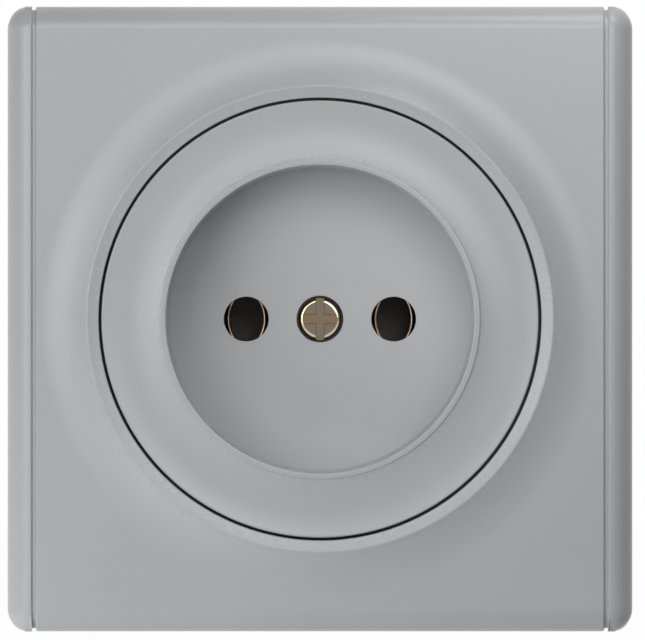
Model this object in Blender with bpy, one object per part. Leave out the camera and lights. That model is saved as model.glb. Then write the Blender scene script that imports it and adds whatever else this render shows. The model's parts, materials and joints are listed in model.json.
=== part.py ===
"""Two-pin wall socket in a square cover frame, for a round wall box.

The plane y = 0 is the wall's surface. The front faces -Y, and the mechanism
reaches back along +Y into the wall box. X runs to the right and Z up.
A height is measured from the wall towards the front, a depth from the wall
back into the box.
"""

import math

import bmesh
import bpy
from mathutils import Matrix

MM = 0.001

# General clearances
GAP = 0.3 * MM
OVERRUN = 1.0 * MM
SINK = 0.4 * MM
WELD = 0.002 * MM

# Cover frame: a centre plate between two side strips, on one carrier
FACE_HEIGHT = 9.0 * MM
EDGE_ROUNDING = 2.9 * MM
CORNER_LAND = 0.1 * MM
STRIP_WIDTH = 3.15 * MM
GROOVE_WIDTH = 0.6 * MM
SKIRT_WALL = 2.2 * MM
FACE_WALL = 1.8 * MM
RIM_HEIGHT = 2.7 * MM
RIM_INSET = 0.4 * MM
CARRIER_WALL = 1.5 * MM
CARRIER_WEB = 1.8 * MM
SNAP_LENGTH = 20.0 * MM
SNAP_WIDTH = 0.8 * MM
SNAP_DEPTH = 0.6 * MM
SNAP_LIFT = 1.4 * MM

# Raised ring of the centre plate
RING_RISE = 1.45 * MM
RING_WIDTH = 6.2 * MM
RING_MARGIN = 0.25 * MM
RING_FOOT_SINK = 0.06 * MM
BAND_WIDTH = 1.5 * MM
TUBE_WALL = 1.2 * MM
COLLAR_WALL = 1.6 * MM
LEDGE_THICKNESS = 1.6 * MM
LEDGE_WIDTH = 2.35 * MM

# Socket cover with its round recess
DISH_WIDTH = 7.45 * MM
COVER_SLIT = 0.35 * MM
COVER_EDGE = 0.25 * MM
TROUGH_SHARE = 0.56376
TROUGH_DIP = 0.78 * MM
RECESS_RADIUS = 19.7 * MM
LIP_WIDTH = 0.8 * MM
LIP_EDGE = 0.2 * MM
RECESS_DEPTH = 15.0 * MM
RECESS_DRAFT = 0.25 * MM
COVER_WALL = 2.0 * MM
COVER_SKIRT_REACH = 4.7 * MM

# Two pins, their holes and the leaf contacts behind them
PIN_SPACING = 19.0 * MM
PIN_LENGTH = 19.0 * MM
PIN_HOLE_RADIUS = 2.87 * MM
PIN_TIP_ROOM = 1.0 * MM
GRIP_HALF = 2.15 * MM
LEAF_RADIUS = 4.5 * MM
LEAF_THICKNESS = 0.4 * MM
LEAF_TOP_ANGLE = math.radians(44)
LEAF_FOOT_ANGLE = math.radians(40)
SPRING_THICKNESS = 0.5 * MM
SPRING_LENGTH = 5.0 * MM
SPRING_SETBACK = 6.0 * MM
SPRING_TOP_ANGLE = math.radians(30)
TONGUE_WIDTH = 2.5 * MM
TONGUE_THICKNESS = 0.6 * MM

# Screw that holds the cover, and its threaded insert
COVER_SCREW_HEAD_RADIUS = 2.65 * MM
COVER_SCREW_HEAD_LENGTH = 1.6 * MM
COVER_SCREW_RIM = 0.45 * MM
COVER_SCREW_RADIUS = 1.6 * MM
COVER_SCREW_WELL_RADIUS = 3.0 * MM
COVER_SCREW_RECESS = 0.3 * MM
COVER_SCREW_SLOT = 1.0 * MM
COVER_SCREW_SLOT_DEPTH = 0.9 * MM
CROSS_LENGTH = 3.8 * MM
CROSS_DEPTH = 0.6 * MM
BOSS_WALL = 1.5 * MM
BOSS_SHOULDER = 1.4 * MM
INSERT_WALL = 1.1 * MM
INSERT_LENGTH = 6.2 * MM
COVER_SCREW_TAIL = 1.5 * MM
TAIL_BORE_EXTRA = 0.6 * MM
TAIL_BORE_LENGTH = 3.5 * MM

# Steel support bracket on the rim of the wall box
BRACKET_THICKNESS = 1.0 * MM
BRACKET_MARGIN = 0.5 * MM
BRACKET_CORNER = 7.0 * MM
BOWL_CLEARANCE = 0.5 * MM
BOX_SCREW_RADIUS = 30.0 * MM
BOX_SLOT_HALF_WIDTH = 1.75 * MM
BOX_SLOT_HALF_ANGLE = math.radians(6)
BOX_SLOT_ANGLES = tuple(math.radians(a) for a in (22, 90, 158, 202, 270, 338))

# Insulating base and its rear plate
COLLAR_THICKNESS = 1.8 * MM
BASE_FLOOR = 2.0 * MM
BASE_WALL = 2.0 * MM
BLOCK_TOP_WALL = 3.5 * MM
BLOCK_CORNER = 1.5 * MM
SHELF_THICKNESS = 3.7 * MM
EAR_EDGE = 1.1 * MM
EAR_THICKNESS = 2.5 * MM
RIVET_RADIUS = 1.2 * MM
RIVET_HEAD_EXTRA = 0.9 * MM
RIVET_HEAD_LENGTH = 0.8 * MM
REAR_PLATE_THICKNESS = 1.8 * MM
WIRE_HOLE_RADIUS = 2.2 * MM
REAR_SCREW_RADIUS = 1.1 * MM
REAR_SCREW_HEAD_RADIUS = 2.0 * MM
REAR_SCREW_HEAD_LENGTH = 1.2 * MM
REAR_SCREW_LENGTH = 8.0 * MM
REAR_SCREW_EDGE = 3.4 * MM

# Terminals: a brass block and a clamping screw for each pole
TERMINAL_HALF_WIDTH = 3.4 * MM
TERMINAL_LENGTH = 10.5 * MM
TERMINAL_TOP_WALL = 1.1 * MM
TERMINAL_SCREW_WALL = 2.4 * MM
WIRE_ROOM = 3.6 * MM
WIRE_ROOM_HALF_WIDTH = 2.2 * MM
TERMINAL_SCREW_RADIUS = 1.5 * MM
TERMINAL_SCREW_REACH = 0.5 * MM
TERMINAL_SCREW_HEAD_RADIUS = 2.4 * MM
TERMINAL_SCREW_HEAD_LENGTH = 1.8 * MM
POCKET_TOP_ROOM = 1.0 * MM

# Spreading claws and the screws that draw them
CLAW_THICKNESS = 1.0 * MM
CLAW_HALF_WIDTH = 3.5 * MM
CLAW_LENGTH = 21.5 * MM
CLAW_ARM = 2.7 * MM
CLAW_ARM_TIP = 0.7 * MM
CLAW_FOOT = 1.7 * MM
CLAW_TOOTH = 0.8 * MM
CLAW_SWING = math.radians(25)
CLAW_PIVOT_DEPTH = 5.2 * MM
TRUNNION_RADIUS = 0.8 * MM
LUG_THICKNESS = 1.2 * MM
LUG_EDGE = 0.4 * MM
CLAW_SCREW_RADIUS = 1.25 * MM
CLAW_SCREW_LENGTH = 12.5 * MM
CLAW_SCREW_HEAD_RADIUS = 2.4 * MM
CLAW_SCREW_HEAD_LENGTH = 1.6 * MM
SCREW_SLOT_WIDTH = 0.8 * MM
SCREW_SLOT_DEPTH = 0.8 * MM

# Roundness
ROUND_STEPS = 64
HOLE_STEPS = 32
SMALL_STEPS = 16
CURVE_STEPS = 6
CORNER_STEPS = 5
SHARP_ANGLE = math.radians(32)

# Derived sizes of the frame, from the plug recess outwards
LIP_RADIUS = RECESS_RADIUS + LIP_WIDTH
COVER_RADIUS = LIP_RADIUS + DISH_WIDTH
BORE_RADIUS = COVER_RADIUS + COVER_SLIT
CREST_RADIUS = BORE_RADIUS + BAND_WIDTH
RING_FOOT_RADIUS = CREST_RADIUS + RING_WIDTH
PLATE_HALF = RING_FOOT_RADIUS + RING_MARGIN
STRIP_INNER = PLATE_HALF + GROOVE_WIDTH
FRAME_HALF = STRIP_INNER + STRIP_WIDTH
CORNER_RADIUS = EDGE_ROUNDING + CORNER_LAND
SKIRT_HEIGHT = RIM_HEIGHT + GAP
SKIRT_INNER = FRAME_HALF - SKIRT_WALL
FACE_UNDERSIDE = FACE_HEIGHT - FACE_WALL
CARRIER_TOP = FACE_UNDERSIDE - GAP
CARRIER_HALF = SKIRT_INNER - GAP
CARRIER_INNER = CARRIER_HALF - CARRIER_WALL
WEB_UNDERSIDE = CARRIER_TOP - CARRIER_WEB
RIM_HALF = FRAME_HALF - RIM_INSET
SNAP_HEIGHT = SKIRT_HEIGHT + SNAP_LIFT

# Derived sizes of the ring and the cover
CREST_HEIGHT = FACE_HEIGHT + RING_RISE
RING_FOOT_HEIGHT = FACE_HEIGHT - RING_FOOT_SINK
TROUGH_RADIUS = LIP_RADIUS + TROUGH_SHARE * DISH_WIDTH
TROUGH_HEIGHT = CREST_HEIGHT - TROUGH_DIP
DISH_CURVE = TROUGH_DIP / (CREST_RADIUS - TROUGH_RADIUS) ** 2
TUBE_RADIUS = BORE_RADIUS + TUBE_WALL


def dish_height(radius):
    """Height of the shallow dish that runs from the lip to the ring's crest."""
    return TROUGH_HEIGHT + DISH_CURVE * (radius - TROUGH_RADIUS) ** 2


COVER_TOP = dish_height(COVER_RADIUS)
LIP_HEIGHT = dish_height(LIP_RADIUS) + LIP_EDGE
COVER_SKIRT_BOTTOM = COVER_TOP - COVER_SKIRT_REACH
LEDGE_TOP = COVER_SKIRT_BOTTOM - GAP
LEDGE_BOTTOM = LEDGE_TOP - LEDGE_THICKNESS
LEDGE_RADIUS = COVER_RADIUS - LEDGE_WIDTH
COLLAR_INNER = TUBE_RADIUS + GAP
COLLAR_OUTER = COLLAR_INNER + COLLAR_WALL
FLOOR_DEPTH = RECESS_DEPTH - LIP_HEIGHT
FLOOR_RADIUS = RECESS_RADIUS - RECESS_DRAFT
FLOOR_BACK = FLOOR_DEPTH + COVER_WALL
BOWL_RADIUS = RECESS_RADIUS + COVER_WALL
HEAD_FRONT = FLOOR_DEPTH + COVER_SCREW_RECESS
HEAD_BACK = HEAD_FRONT + COVER_SCREW_HEAD_LENGTH
WELL_BOTTOM = HEAD_BACK + GAP
BOSS_RADIUS = COVER_SCREW_WELL_RADIUS + BOSS_WALL
BOSS_BACK = WELL_BOTTOM + BOSS_SHOULDER

# Derived sizes of the mechanism
BRACKET_HALF = CARRIER_INNER - BRACKET_MARGIN
BRACKET_OPENING = BOWL_RADIUS + BOWL_CLEARANCE
BASE_FRONT = FLOOR_BACK + GAP
BASE_FLOOR_BACK = BASE_FRONT + BASE_FLOOR
BASE_COLLAR_OUTER = BRACKET_OPENING + COLLAR_THICKNESS
RIVET_HEAD_RADIUS = RIVET_RADIUS + RIVET_HEAD_EXTRA
RIVET_CIRCLE = BASE_COLLAR_OUTER + RIVET_HEAD_RADIUS + GAP
EAR_RADIUS = RIVET_HEAD_RADIUS + EAR_EDGE
RIVET_PLACE = RIVET_CIRCLE * math.sqrt(0.5)
PIN_X = PIN_SPACING / 2
CONTACT_FRONT = BASE_FLOOR_BACK + GAP
CONTACT_BACK = FLOOR_DEPTH + PIN_LENGTH + PIN_TIP_ROOM
BLOCK_BACK = CONTACT_BACK
REAR_PLATE_FRONT = BLOCK_BACK + GAP
REAR_PLATE_BACK = REAR_PLATE_FRONT + REAR_PLATE_THICKNESS
LEAF_CENTRE = GRIP_HALF - LEAF_RADIUS
LEAF_OUTER = LEAF_RADIUS + LEAF_THICKNESS
CONTACT_FLOOR = -LEAF_RADIUS * math.sin(LEAF_FOOT_ANGLE)
CONTACT_UNDERSIDE = CONTACT_FLOOR - LEAF_THICKNESS
SPRING_INNER = LEAF_OUTER + GAP
SPRING_OUTER = SPRING_INNER + SPRING_THICKNESS
SPRING_FLOOR = CONTACT_UNDERSIDE - GAP
SPRING_UNDERSIDE = SPRING_FLOOR - SPRING_THICKNESS
SPRING_FRONT = CONTACT_FRONT + SPRING_SETBACK
POCKET_HALF = LEAF_CENTRE + SPRING_OUTER + GAP
POCKET_TOP = LEAF_OUTER * math.sin(LEAF_TOP_ANGLE) + POCKET_TOP_ROOM
POCKET_BOTTOM = SPRING_UNDERSIDE - GAP
TERMINAL_POCKET_TOP = POCKET_BOTTOM - SHELF_THICKNESS
TERMINAL_POCKET_HALF = TERMINAL_HALF_WIDTH + GAP
TERMINAL_TOP = TERMINAL_POCKET_TOP - GAP
WIRE_TOP = TERMINAL_TOP - TERMINAL_TOP_WALL
WIRE_BOTTOM = WIRE_TOP - WIRE_ROOM
TERMINAL_BOTTOM = WIRE_BOTTOM - TERMINAL_SCREW_WALL
TERMINAL_FRONT = CONTACT_FRONT + TONGUE_THICKNESS + GAP
TERMINAL_BACK = TERMINAL_FRONT + TERMINAL_LENGTH
TERMINAL_SCREW_DEPTH = (TERMINAL_FRONT + TERMINAL_BACK) / 2
TONGUE_FOOT_TOP = WIRE_TOP - GAP
TONGUE_FOOT_BOTTOM = TONGUE_FOOT_TOP - TONGUE_THICKNESS
WIRE_HOLE_Z = (TONGUE_FOOT_BOTTOM + WIRE_BOTTOM) / 2
TERMINAL_SCREW_SEAT = TERMINAL_BOTTOM - GAP
BLOCK_BOTTOM = TERMINAL_SCREW_SEAT - TERMINAL_SCREW_HEAD_LENGTH - SINK
BLOCK_TOP = POCKET_TOP + BLOCK_TOP_WALL
BLOCK_HALF = PIN_X + max(POCKET_HALF, TERMINAL_POCKET_HALF) + BASE_WALL
INSERT_FRONT = BOSS_BACK + GAP
INSERT_BORE = COVER_SCREW_RADIUS + GAP
INSERT_RADIUS = INSERT_BORE + INSERT_WALL
INSERT_BACK = INSERT_FRONT + INSERT_LENGTH
SCREW_TIP = INSERT_BACK + COVER_SCREW_TAIL
TAIL_BORE_BACK = INSERT_BACK + TAIL_BORE_LENGTH
REAR_SCREW_PLACES = (BLOCK_TOP - REAR_SCREW_EDGE, WIRE_HOLE_Z)

# Derived sizes of the claws
LUG_HOLE_RADIUS = TRUNNION_RADIUS + GAP
LUG_HALF = LUG_HOLE_RADIUS + LUG_EDGE
LUG_INNER = BRACKET_OPENING + GAP
CLAW_PIVOT_X = LUG_INNER + LUG_HALF
LUG_Z = CLAW_HALF_WIDTH + GAP
LUG_BACK = CLAW_PIVOT_DEPTH + LUG_HALF
TRUNNION_END = LUG_Z + LUG_THICKNESS + GAP
CLAW_SCREW_X = CLAW_PIVOT_X + CLAW_ARM
CLAW_SLOT_HALF = CLAW_SCREW_RADIUS + GAP
CLAW_LEAN = CLAW_THICKNESS / 2 * math.tan(CLAW_SWING)
CLAW_HOLE_OUTER = (CLAW_ARM + CLAW_SCREW_RADIUS + GAP / 2) / math.cos(CLAW_SWING) + CLAW_LEAN
CLAW_HOLE_INNER = CLAW_ARM - CLAW_SCREW_RADIUS - 2 * GAP
CLAW_ARM_END = CLAW_HOLE_OUTER + CLAW_ARM_TIP
CLAW_FORK_FRONT = CLAW_THICKNESS / 2 + TRUNNION_RADIUS
CLAW_SCREW_END_DEPTH = CLAW_SCREW_LENGTH - BRACKET_THICKNESS - GAP
CLAW_SCREW_PAST_PIVOT = CLAW_SCREW_END_DEPTH - CLAW_PIVOT_DEPTH
CLAW_FORK_BACK = (
    CLAW_SCREW_PAST_PIVOT * math.cos(CLAW_SWING)
    + (CLAW_ARM + CLAW_SCREW_RADIUS) * math.sin(CLAW_SWING)
    + OVERRUN
)
CLAW_BAY_HALF = TRUNNION_END + GAP
CLAW_BAY_INNER = math.sqrt(BRACKET_OPENING**2 - CLAW_BAY_HALF**2) - GAP


def clear_scene():
    for obj in list(bpy.data.objects):
        bpy.data.objects.remove(obj, do_unlink=True)


def make_material(name, colour, roughness, metallic=0.0):
    material = bpy.data.materials.new(name)
    material.use_nodes = True
    shader = material.node_tree.nodes["Principled BSDF"]
    shader.inputs["Base Color"].default_value = (*colour, 1.0)
    shader.inputs["Roughness"].default_value = roughness
    shader.inputs["Metallic"].default_value = metallic
    material.diffuse_color = (*colour, 1.0)
    return material


def body_from(bm):
    """A new object with the closed mesh bm, its faces pointing out."""
    bmesh.ops.recalc_face_normals(bm, faces=bm.faces)
    mesh = bpy.data.meshes.new("body")
    bm.to_mesh(mesh)
    bm.free()
    obj = bpy.data.objects.new("body", mesh)
    bpy.context.scene.collection.objects.link(obj)
    return obj


def skin(rings):
    """A closed body over rings of equally many points, with flat ends."""
    bm = bmesh.new()
    loops = [[bm.verts.new(point) for point in ring] for ring in rings]
    for low, high in zip(loops, loops[1:]):
        for i in range(len(low)):
            j = (i + 1) % len(low)
            bm.faces.new((low[i], low[j], high[j], high[i]))
    bm.faces.new(loops[0])
    bm.faces.new(loops[-1])
    return body_from(bm)


def prism(outline, front, back):
    """An outline of (x, z) points, extruded along Y."""
    return skin([[(x, y, z) for x, z in outline] for y in (front, back)])


def box(low, high):
    x0, y0, z0 = low
    x1, y1, z1 = high
    return prism([(x0, z0), (x1, z0), (x1, z1), (x0, z1)], y0, y1)


def turned(profile, steps=ROUND_STEPS):
    """A closed profile of (radius, y) points, turned about the Y axis."""
    bm = bmesh.new()
    points = [bm.verts.new((radius, y, 0)) for radius, y in profile]
    edges = [bm.edges.new((a, b)) for a, b in zip(points, points[1:] + points[:1])]
    bmesh.ops.spin(
        bm,
        geom=points + edges,
        cent=(0, 0, 0),
        axis=(0, 1, 0),
        angle=math.tau,
        steps=steps,
        use_merge=True,
    )
    bmesh.ops.remove_doubles(bm, verts=bm.verts, dist=WELD)
    loose = [edge for edge in bm.edges if not edge.link_faces]
    bmesh.ops.delete(bm, geom=loose, context="EDGES")
    return body_from(bm)


def disc(radius, front, back, steps=SMALL_STEPS):
    return turned([(0, front), (radius, front), (radius, back), (0, back)], steps)


def rounded_rectangle(low, high, radius, steps=CORNER_STEPS):
    """Points (x, z) round a rectangle with round corners."""
    points = []
    corners = ((high[0], high[1], 0), (low[0], high[1], 1), (low[0], low[1], 2), (high[0], low[1], 3))
    for x, z, quarter in corners:
        cx = x - math.copysign(radius, x - (low[0] + high[0]) / 2)
        cz = z - math.copysign(radius, z - (low[1] + high[1]) / 2)
        for i in range(steps + 1):
            angle = (quarter + i / steps) * math.pi / 2
            points.append((cx + radius * math.cos(angle), cz + radius * math.sin(angle)))
    return points


def rounded_square(half, radius):
    return rounded_rectangle((-half, -half), (half, half), radius)


def moved(body, x=0, y=0, z=0):
    body.data.transform(Matrix.Translation((x, y, z)))
    return body


def turned_about(body, angle, axis):
    body.data.transform(Matrix.Rotation(angle, 4, axis))
    return body


def welded(mesh):
    """Merges the corners of mesh that a cut left on top of each other."""
    bm = bmesh.new()
    bm.from_mesh(mesh)
    bmesh.ops.remove_doubles(bm, verts=bm.verts, dist=WELD)
    bmesh.ops.dissolve_degenerate(bm, edges=bm.edges, dist=WELD)
    bm.to_mesh(mesh)
    bm.free()
    return mesh


def boolean(body, tools, operation):
    """Joins, cuts or intersects body with each tool, and removes the tools."""
    for tool in tools:
        modifier = body.modifiers.new("boolean", "BOOLEAN")
        modifier.operation = operation
        modifier.solver = "EXACT"
        modifier.object = tool
        graph = bpy.context.evaluated_depsgraph_get()
        result = bpy.data.meshes.new_from_object(body.evaluated_get(graph))
        body.modifiers.clear()
        body.data = welded(result)
        bpy.data.objects.remove(tool, do_unlink=True)
    return body


def join(body, *tools):
    return boolean(body, tools, "UNION")


def cut(body, *tools):
    return boolean(body, tools, "DIFFERENCE")


def keep_inside(body, tool):
    return boolean(body, [tool], "INTERSECT")


def finish(body, name, material, location=(0, 0, 0), rotation=(0, 0, 0)):
    """Names, colours, shades and places a finished piece."""
    body.name = name
    body.data.name = name
    body.data.materials.clear()
    body.data.materials.append(material)
    body.data.shade_smooth()
    body.data.set_sharp_from_angle(angle=SHARP_ANGLE)
    body.location = location
    body.rotation_euler = rotation
    return body


def face_slab():
    """The frame's whole front as one rounded square cap, hollow behind."""
    rings = []
    for i in range(CORNER_STEPS + 1):
        angle = i / CORNER_STEPS * math.pi / 2
        inset = EDGE_ROUNDING * (1 - math.sin(angle))
        height = FACE_HEIGHT - EDGE_ROUNDING * (1 - math.cos(angle))
        outline = rounded_square(FRAME_HALF - inset, CORNER_RADIUS - inset)
        rings.append([(x, -height, z) for x, z in outline])
    rings.append([(x, -SKIRT_HEIGHT, z) for x, _, z in rings[-1]])
    hollow = prism(rounded_square(SKIRT_INNER, CORNER_LAND), -FACE_UNDERSIDE, 0)
    return cut(skin(rings), hollow)


def snap_bar(grow=0):
    """The snap ridge inside a skirt at +X, grown on all sides for its groove."""
    low = (SKIRT_INNER - SNAP_DEPTH - grow, -SNAP_HEIGHT - SNAP_WIDTH - grow, -SNAP_LENGTH / 2 - grow)
    high = (SKIRT_INNER + SINK, -SNAP_HEIGHT + grow, SNAP_LENGTH / 2 + grow)
    return box(low, high)


def cove_points(rise, foot_radius, foot_height):
    """The hollow flank from the crest down to its foot, flat where it ends."""
    points = []
    for i in range(CURVE_STEPS + 1):
        share = i / CURVE_STEPS
        radius = CREST_RADIUS + share * (foot_radius - CREST_RADIUS)
        points.append((radius, -foot_height - rise * (1 - share) ** 2))
    return points


def frame_plate(material):
    """Centre plate: a face with a raised ring, and a tube down to the ledge."""
    reach = FRAME_HALF + OVERRUN
    plate = keep_inside(
        face_slab(), box((-PLATE_HALF, -CREST_HEIGHT, -reach), (PLATE_HALF, 0, reach))
    )
    rise = CREST_HEIGHT - RING_FOOT_HEIGHT
    bed = FACE_UNDERSIDE + FACE_WALL / 2
    profile = cove_points(rise, RING_FOOT_RADIUS, RING_FOOT_HEIGHT)
    profile += [
        (RING_FOOT_RADIUS, -bed),
        (TUBE_RADIUS, -bed),
        (TUBE_RADIUS, -COVER_SKIRT_BOTTOM),
        (BORE_RADIUS, -COVER_SKIRT_BOTTOM),
        (BORE_RADIUS, -dish_height(BORE_RADIUS)),
    ]
    core = cove_points(rise, RING_FOOT_RADIUS - FACE_WALL, RING_FOOT_HEIGHT)
    core = [(r, y + FACE_WALL) for r, y in core if r > TUBE_RADIUS + SINK]
    core = [(core[0][0], -FACE_UNDERSIDE + OVERRUN), *core, (core[-1][0], -FACE_UNDERSIDE + OVERRUN)]
    hole = disc(BORE_RADIUS + TUBE_WALL / 2, -CREST_HEIGHT, 0, ROUND_STEPS)
    plate = cut(plate, hole)
    plate = join(plate, turned(profile))
    plate = cut(plate, turned(core))
    for quarter in (1, 3):
        plate = join(plate, turned_about(snap_bar(), quarter * math.pi / 2, "Y"))
    return finish(plate, "frame_plate", material)


def side_strip(name, side, material):
    """One rounded side strip, from the groove to the frame's edge."""
    reach = FRAME_HALF + OVERRUN
    strip = keep_inside(
        face_slab(), box((STRIP_INNER, -FACE_HEIGHT - OVERRUN, -reach), (reach, 0, reach))
    )
    strip = join(strip, snap_bar())
    turn = 0 if side > 0 else math.pi
    return finish(strip, name, material, rotation=(0, turn, 0))


def frame_carrier(material):
    """The hidden tray that stands on the wall and carries plate and strips."""
    rim = prism(rounded_square(RIM_HALF, CORNER_RADIUS - RIM_INSET), -RIM_HEIGHT, 0)
    upper = prism(rounded_square(CARRIER_HALF, CORNER_LAND), -CARRIER_TOP, -RIM_HEIGHT + SINK)
    tray = join(rim, upper)
    inside = rounded_square(CARRIER_INNER, CORNER_LAND)
    tray = cut(tray, prism(inside, -WEB_UNDERSIDE, OVERRUN))
    mouth = disc((COLLAR_INNER + COLLAR_OUTER) / 2, -CREST_HEIGHT, OVERRUN, ROUND_STEPS)
    tray = cut(tray, mouth)
    collar_top = CARRIER_TOP - SINK
    collar = turned(
        [
            (LEDGE_RADIUS, -LEDGE_BOTTOM),
            (COLLAR_OUTER, -LEDGE_BOTTOM),
            (COLLAR_OUTER, -collar_top),
            (COLLAR_INNER, -collar_top),
            (COLLAR_INNER, -LEDGE_TOP),
            (LEDGE_RADIUS, -LEDGE_TOP),
        ]
    )
    tray = join(tray, collar)
    for quarter in range(4):
        tray = cut(tray, turned_about(snap_bar(GAP), quarter * math.pi / 2, "Y"))
    return finish(tray, "frame_carrier", material)


def socket_cover(material):
    """Round cover: dished rim, deep recess, two pin holes and a screw well."""
    dish = []
    for i in range(CURVE_STEPS + 1):
        radius = LIP_RADIUS + i / CURVE_STEPS * (COVER_RADIUS - COVER_EDGE - LIP_RADIUS)
        dish.append((radius, -dish_height(radius)))
    under = [(radius, y + COVER_WALL) for radius, y in dish]
    under = [point for point in under if BOWL_RADIUS < point[0] < COVER_RADIUS - COVER_WALL]
    profile = [
        (0, FLOOR_DEPTH),
        (FLOOR_RADIUS - LIP_EDGE, FLOOR_DEPTH),
        (FLOOR_RADIUS, FLOOR_DEPTH - LIP_EDGE),
        (RECESS_RADIUS, -LIP_HEIGHT + LIP_EDGE),
        (RECESS_RADIUS + LIP_EDGE, -LIP_HEIGHT),
        (LIP_RADIUS - LIP_EDGE, -LIP_HEIGHT),
        *dish,
        (COVER_RADIUS, -COVER_TOP + COVER_EDGE),
        (COVER_RADIUS, -COVER_SKIRT_BOTTOM),
        (COVER_RADIUS - COVER_WALL, -COVER_SKIRT_BOTTOM),
        (COVER_RADIUS - COVER_WALL, under[-1][1]),
        *reversed(under),
        (BOWL_RADIUS, under[0][1]),
        (BOWL_RADIUS, FLOOR_BACK),
        (0, FLOOR_BACK),
    ]
    cover = turned(profile)
    cover = join(cover, disc(BOSS_RADIUS, FLOOR_BACK - SINK, BOSS_BACK))
    well = disc(COVER_SCREW_WELL_RADIUS, FLOOR_DEPTH - OVERRUN, WELL_BOTTOM, HOLE_STEPS)
    shank_hole = disc(COVER_SCREW_RADIUS + GAP, FLOOR_DEPTH, BOSS_BACK + OVERRUN)
    cover = cut(cover, well, shank_hole)
    for side in (-1, 1):
        hole = disc(PIN_HOLE_RADIUS, FLOOR_DEPTH - OVERRUN, FLOOR_BACK + OVERRUN, HOLE_STEPS)
        cover = cut(cover, moved(hole, x=side * PIN_X))
    return finish(cover, "socket_cover", material)


def cover_screw(material):
    """Slotted screw with a rounded head rim and a shallow cross recess."""
    profile = [(0, 0), (COVER_SCREW_HEAD_RADIUS - COVER_SCREW_RIM, 0)]
    for i in range(1, CORNER_STEPS // 2 + 1):
        angle = i / (CORNER_STEPS // 2) * math.pi / 2
        radius = COVER_SCREW_HEAD_RADIUS - COVER_SCREW_RIM * (1 - math.sin(angle))
        profile.append((radius, COVER_SCREW_RIM * (1 - math.cos(angle))))
    profile += [
        (COVER_SCREW_HEAD_RADIUS, COVER_SCREW_HEAD_LENGTH),
        (COVER_SCREW_RADIUS, COVER_SCREW_HEAD_LENGTH),
        (COVER_SCREW_RADIUS, SCREW_TIP - HEAD_FRONT),
        (0, SCREW_TIP - HEAD_FRONT),
    ]
    screw = turned(profile, HOLE_STEPS)
    half, reach = COVER_SCREW_SLOT / 2, COVER_SCREW_HEAD_RADIUS + OVERRUN
    slot = box((-half, -OVERRUN, -reach), (half, COVER_SCREW_SLOT_DEPTH, reach))
    cross = box((-CROSS_LENGTH / 2, -OVERRUN, -half), (CROSS_LENGTH / 2, CROSS_DEPTH, half))
    return finish(cut(screw, slot, cross), "cover_screw", material, (0, HEAD_FRONT, 0))


def plain_screw(head_radius, head_length, shank_radius, shank_length):
    """A slotted screw along +Y, with the underside of its head at y = 0."""
    profile = [
        (0, -head_length),
        (head_radius, -head_length),
        (head_radius, 0),
        (shank_radius, 0),
        (shank_radius, shank_length),
        (0, shank_length),
    ]
    half, reach = SCREW_SLOT_WIDTH / 2, head_radius + OVERRUN
    bottom = -head_length + SCREW_SLOT_DEPTH
    slot = box((-half, -head_length - OVERRUN, -reach), (half, bottom, reach))
    return cut(turned(profile, SMALL_STEPS), slot)


def screw_insert(material):
    profile = [
        (INSERT_BORE, INSERT_FRONT),
        (INSERT_RADIUS, INSERT_FRONT),
        (INSERT_RADIUS, INSERT_BACK),
        (INSERT_BORE, INSERT_BACK),
    ]
    return finish(turned(profile, SMALL_STEPS), "screw_insert", material)


def arc_slot(angle):
    """A curved slot for a box screw, on the circle of the box screws."""
    steps = range(CURVE_STEPS + 1)
    sweep = [angle + BOX_SLOT_HALF_ANGLE * (2 * i / CURVE_STEPS - 1) for i in steps]

    def at(radius, turn):
        return (radius * math.cos(turn), radius * math.sin(turn))

    def round_end(turn, start):
        cx, cz = at(BOX_SCREW_RADIUS, turn)
        rim = [at(BOX_SLOT_HALF_WIDTH, start + i / CORNER_STEPS * math.pi) for i in range(1, CORNER_STEPS)]
        return [(cx + x, cz + z) for x, z in rim]

    outline = [at(BOX_SCREW_RADIUS + BOX_SLOT_HALF_WIDTH, turn) for turn in sweep]
    outline += round_end(sweep[-1], sweep[-1])
    outline += [at(BOX_SCREW_RADIUS - BOX_SLOT_HALF_WIDTH, turn) for turn in reversed(sweep)]
    outline += round_end(sweep[0], sweep[0] + math.pi)
    return prism(outline, -BRACKET_THICKNESS - OVERRUN, OVERRUN)


def support_bracket(material):
    """Pressed steel plate on the box rim, with two lugs behind at each claw."""
    front, back = -BRACKET_THICKNESS - OVERRUN, OVERRUN
    plate = prism(rounded_square(BRACKET_HALF, BRACKET_CORNER), -BRACKET_THICKNESS, 0)
    plate = cut(plate, disc(BRACKET_OPENING, front, back, ROUND_STEPS))
    for angle in BOX_SLOT_ANGLES:
        plate = cut(plate, arc_slot(angle))
    for x in (-RIVET_PLACE, RIVET_PLACE):
        for z in (-RIVET_PLACE, RIVET_PLACE):
            plate = cut(plate, moved(disc(RIVET_RADIUS + GAP, front, back), x=x, z=z))
    for side in (-1, 1):
        hole = disc(CLAW_SCREW_RADIUS + GAP, front, back)
        plate = cut(plate, moved(hole, x=side * CLAW_SCREW_X))
        for z in (-LUG_Z - LUG_THICKNESS, LUG_Z):
            lug = box(
                (CLAW_PIVOT_X - LUG_HALF, -BRACKET_THICKNESS / 2, z),
                (CLAW_PIVOT_X + LUG_HALF, LUG_BACK, z + LUG_THICKNESS),
            )
            pivot = disc(LUG_HOLE_RADIUS, -OVERRUN, LUG_THICKNESS + OVERRUN)
            pivot = turned_about(pivot, math.pi / 2, "X")
            lug = cut(lug, moved(pivot, x=CLAW_PIVOT_X, y=CLAW_PIVOT_DEPTH, z=z))
            if side < 0:
                lug = turned_about(lug, math.pi, "Y")
            plate = join(plate, lug)
    return finish(plate, "support_bracket", material)


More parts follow.
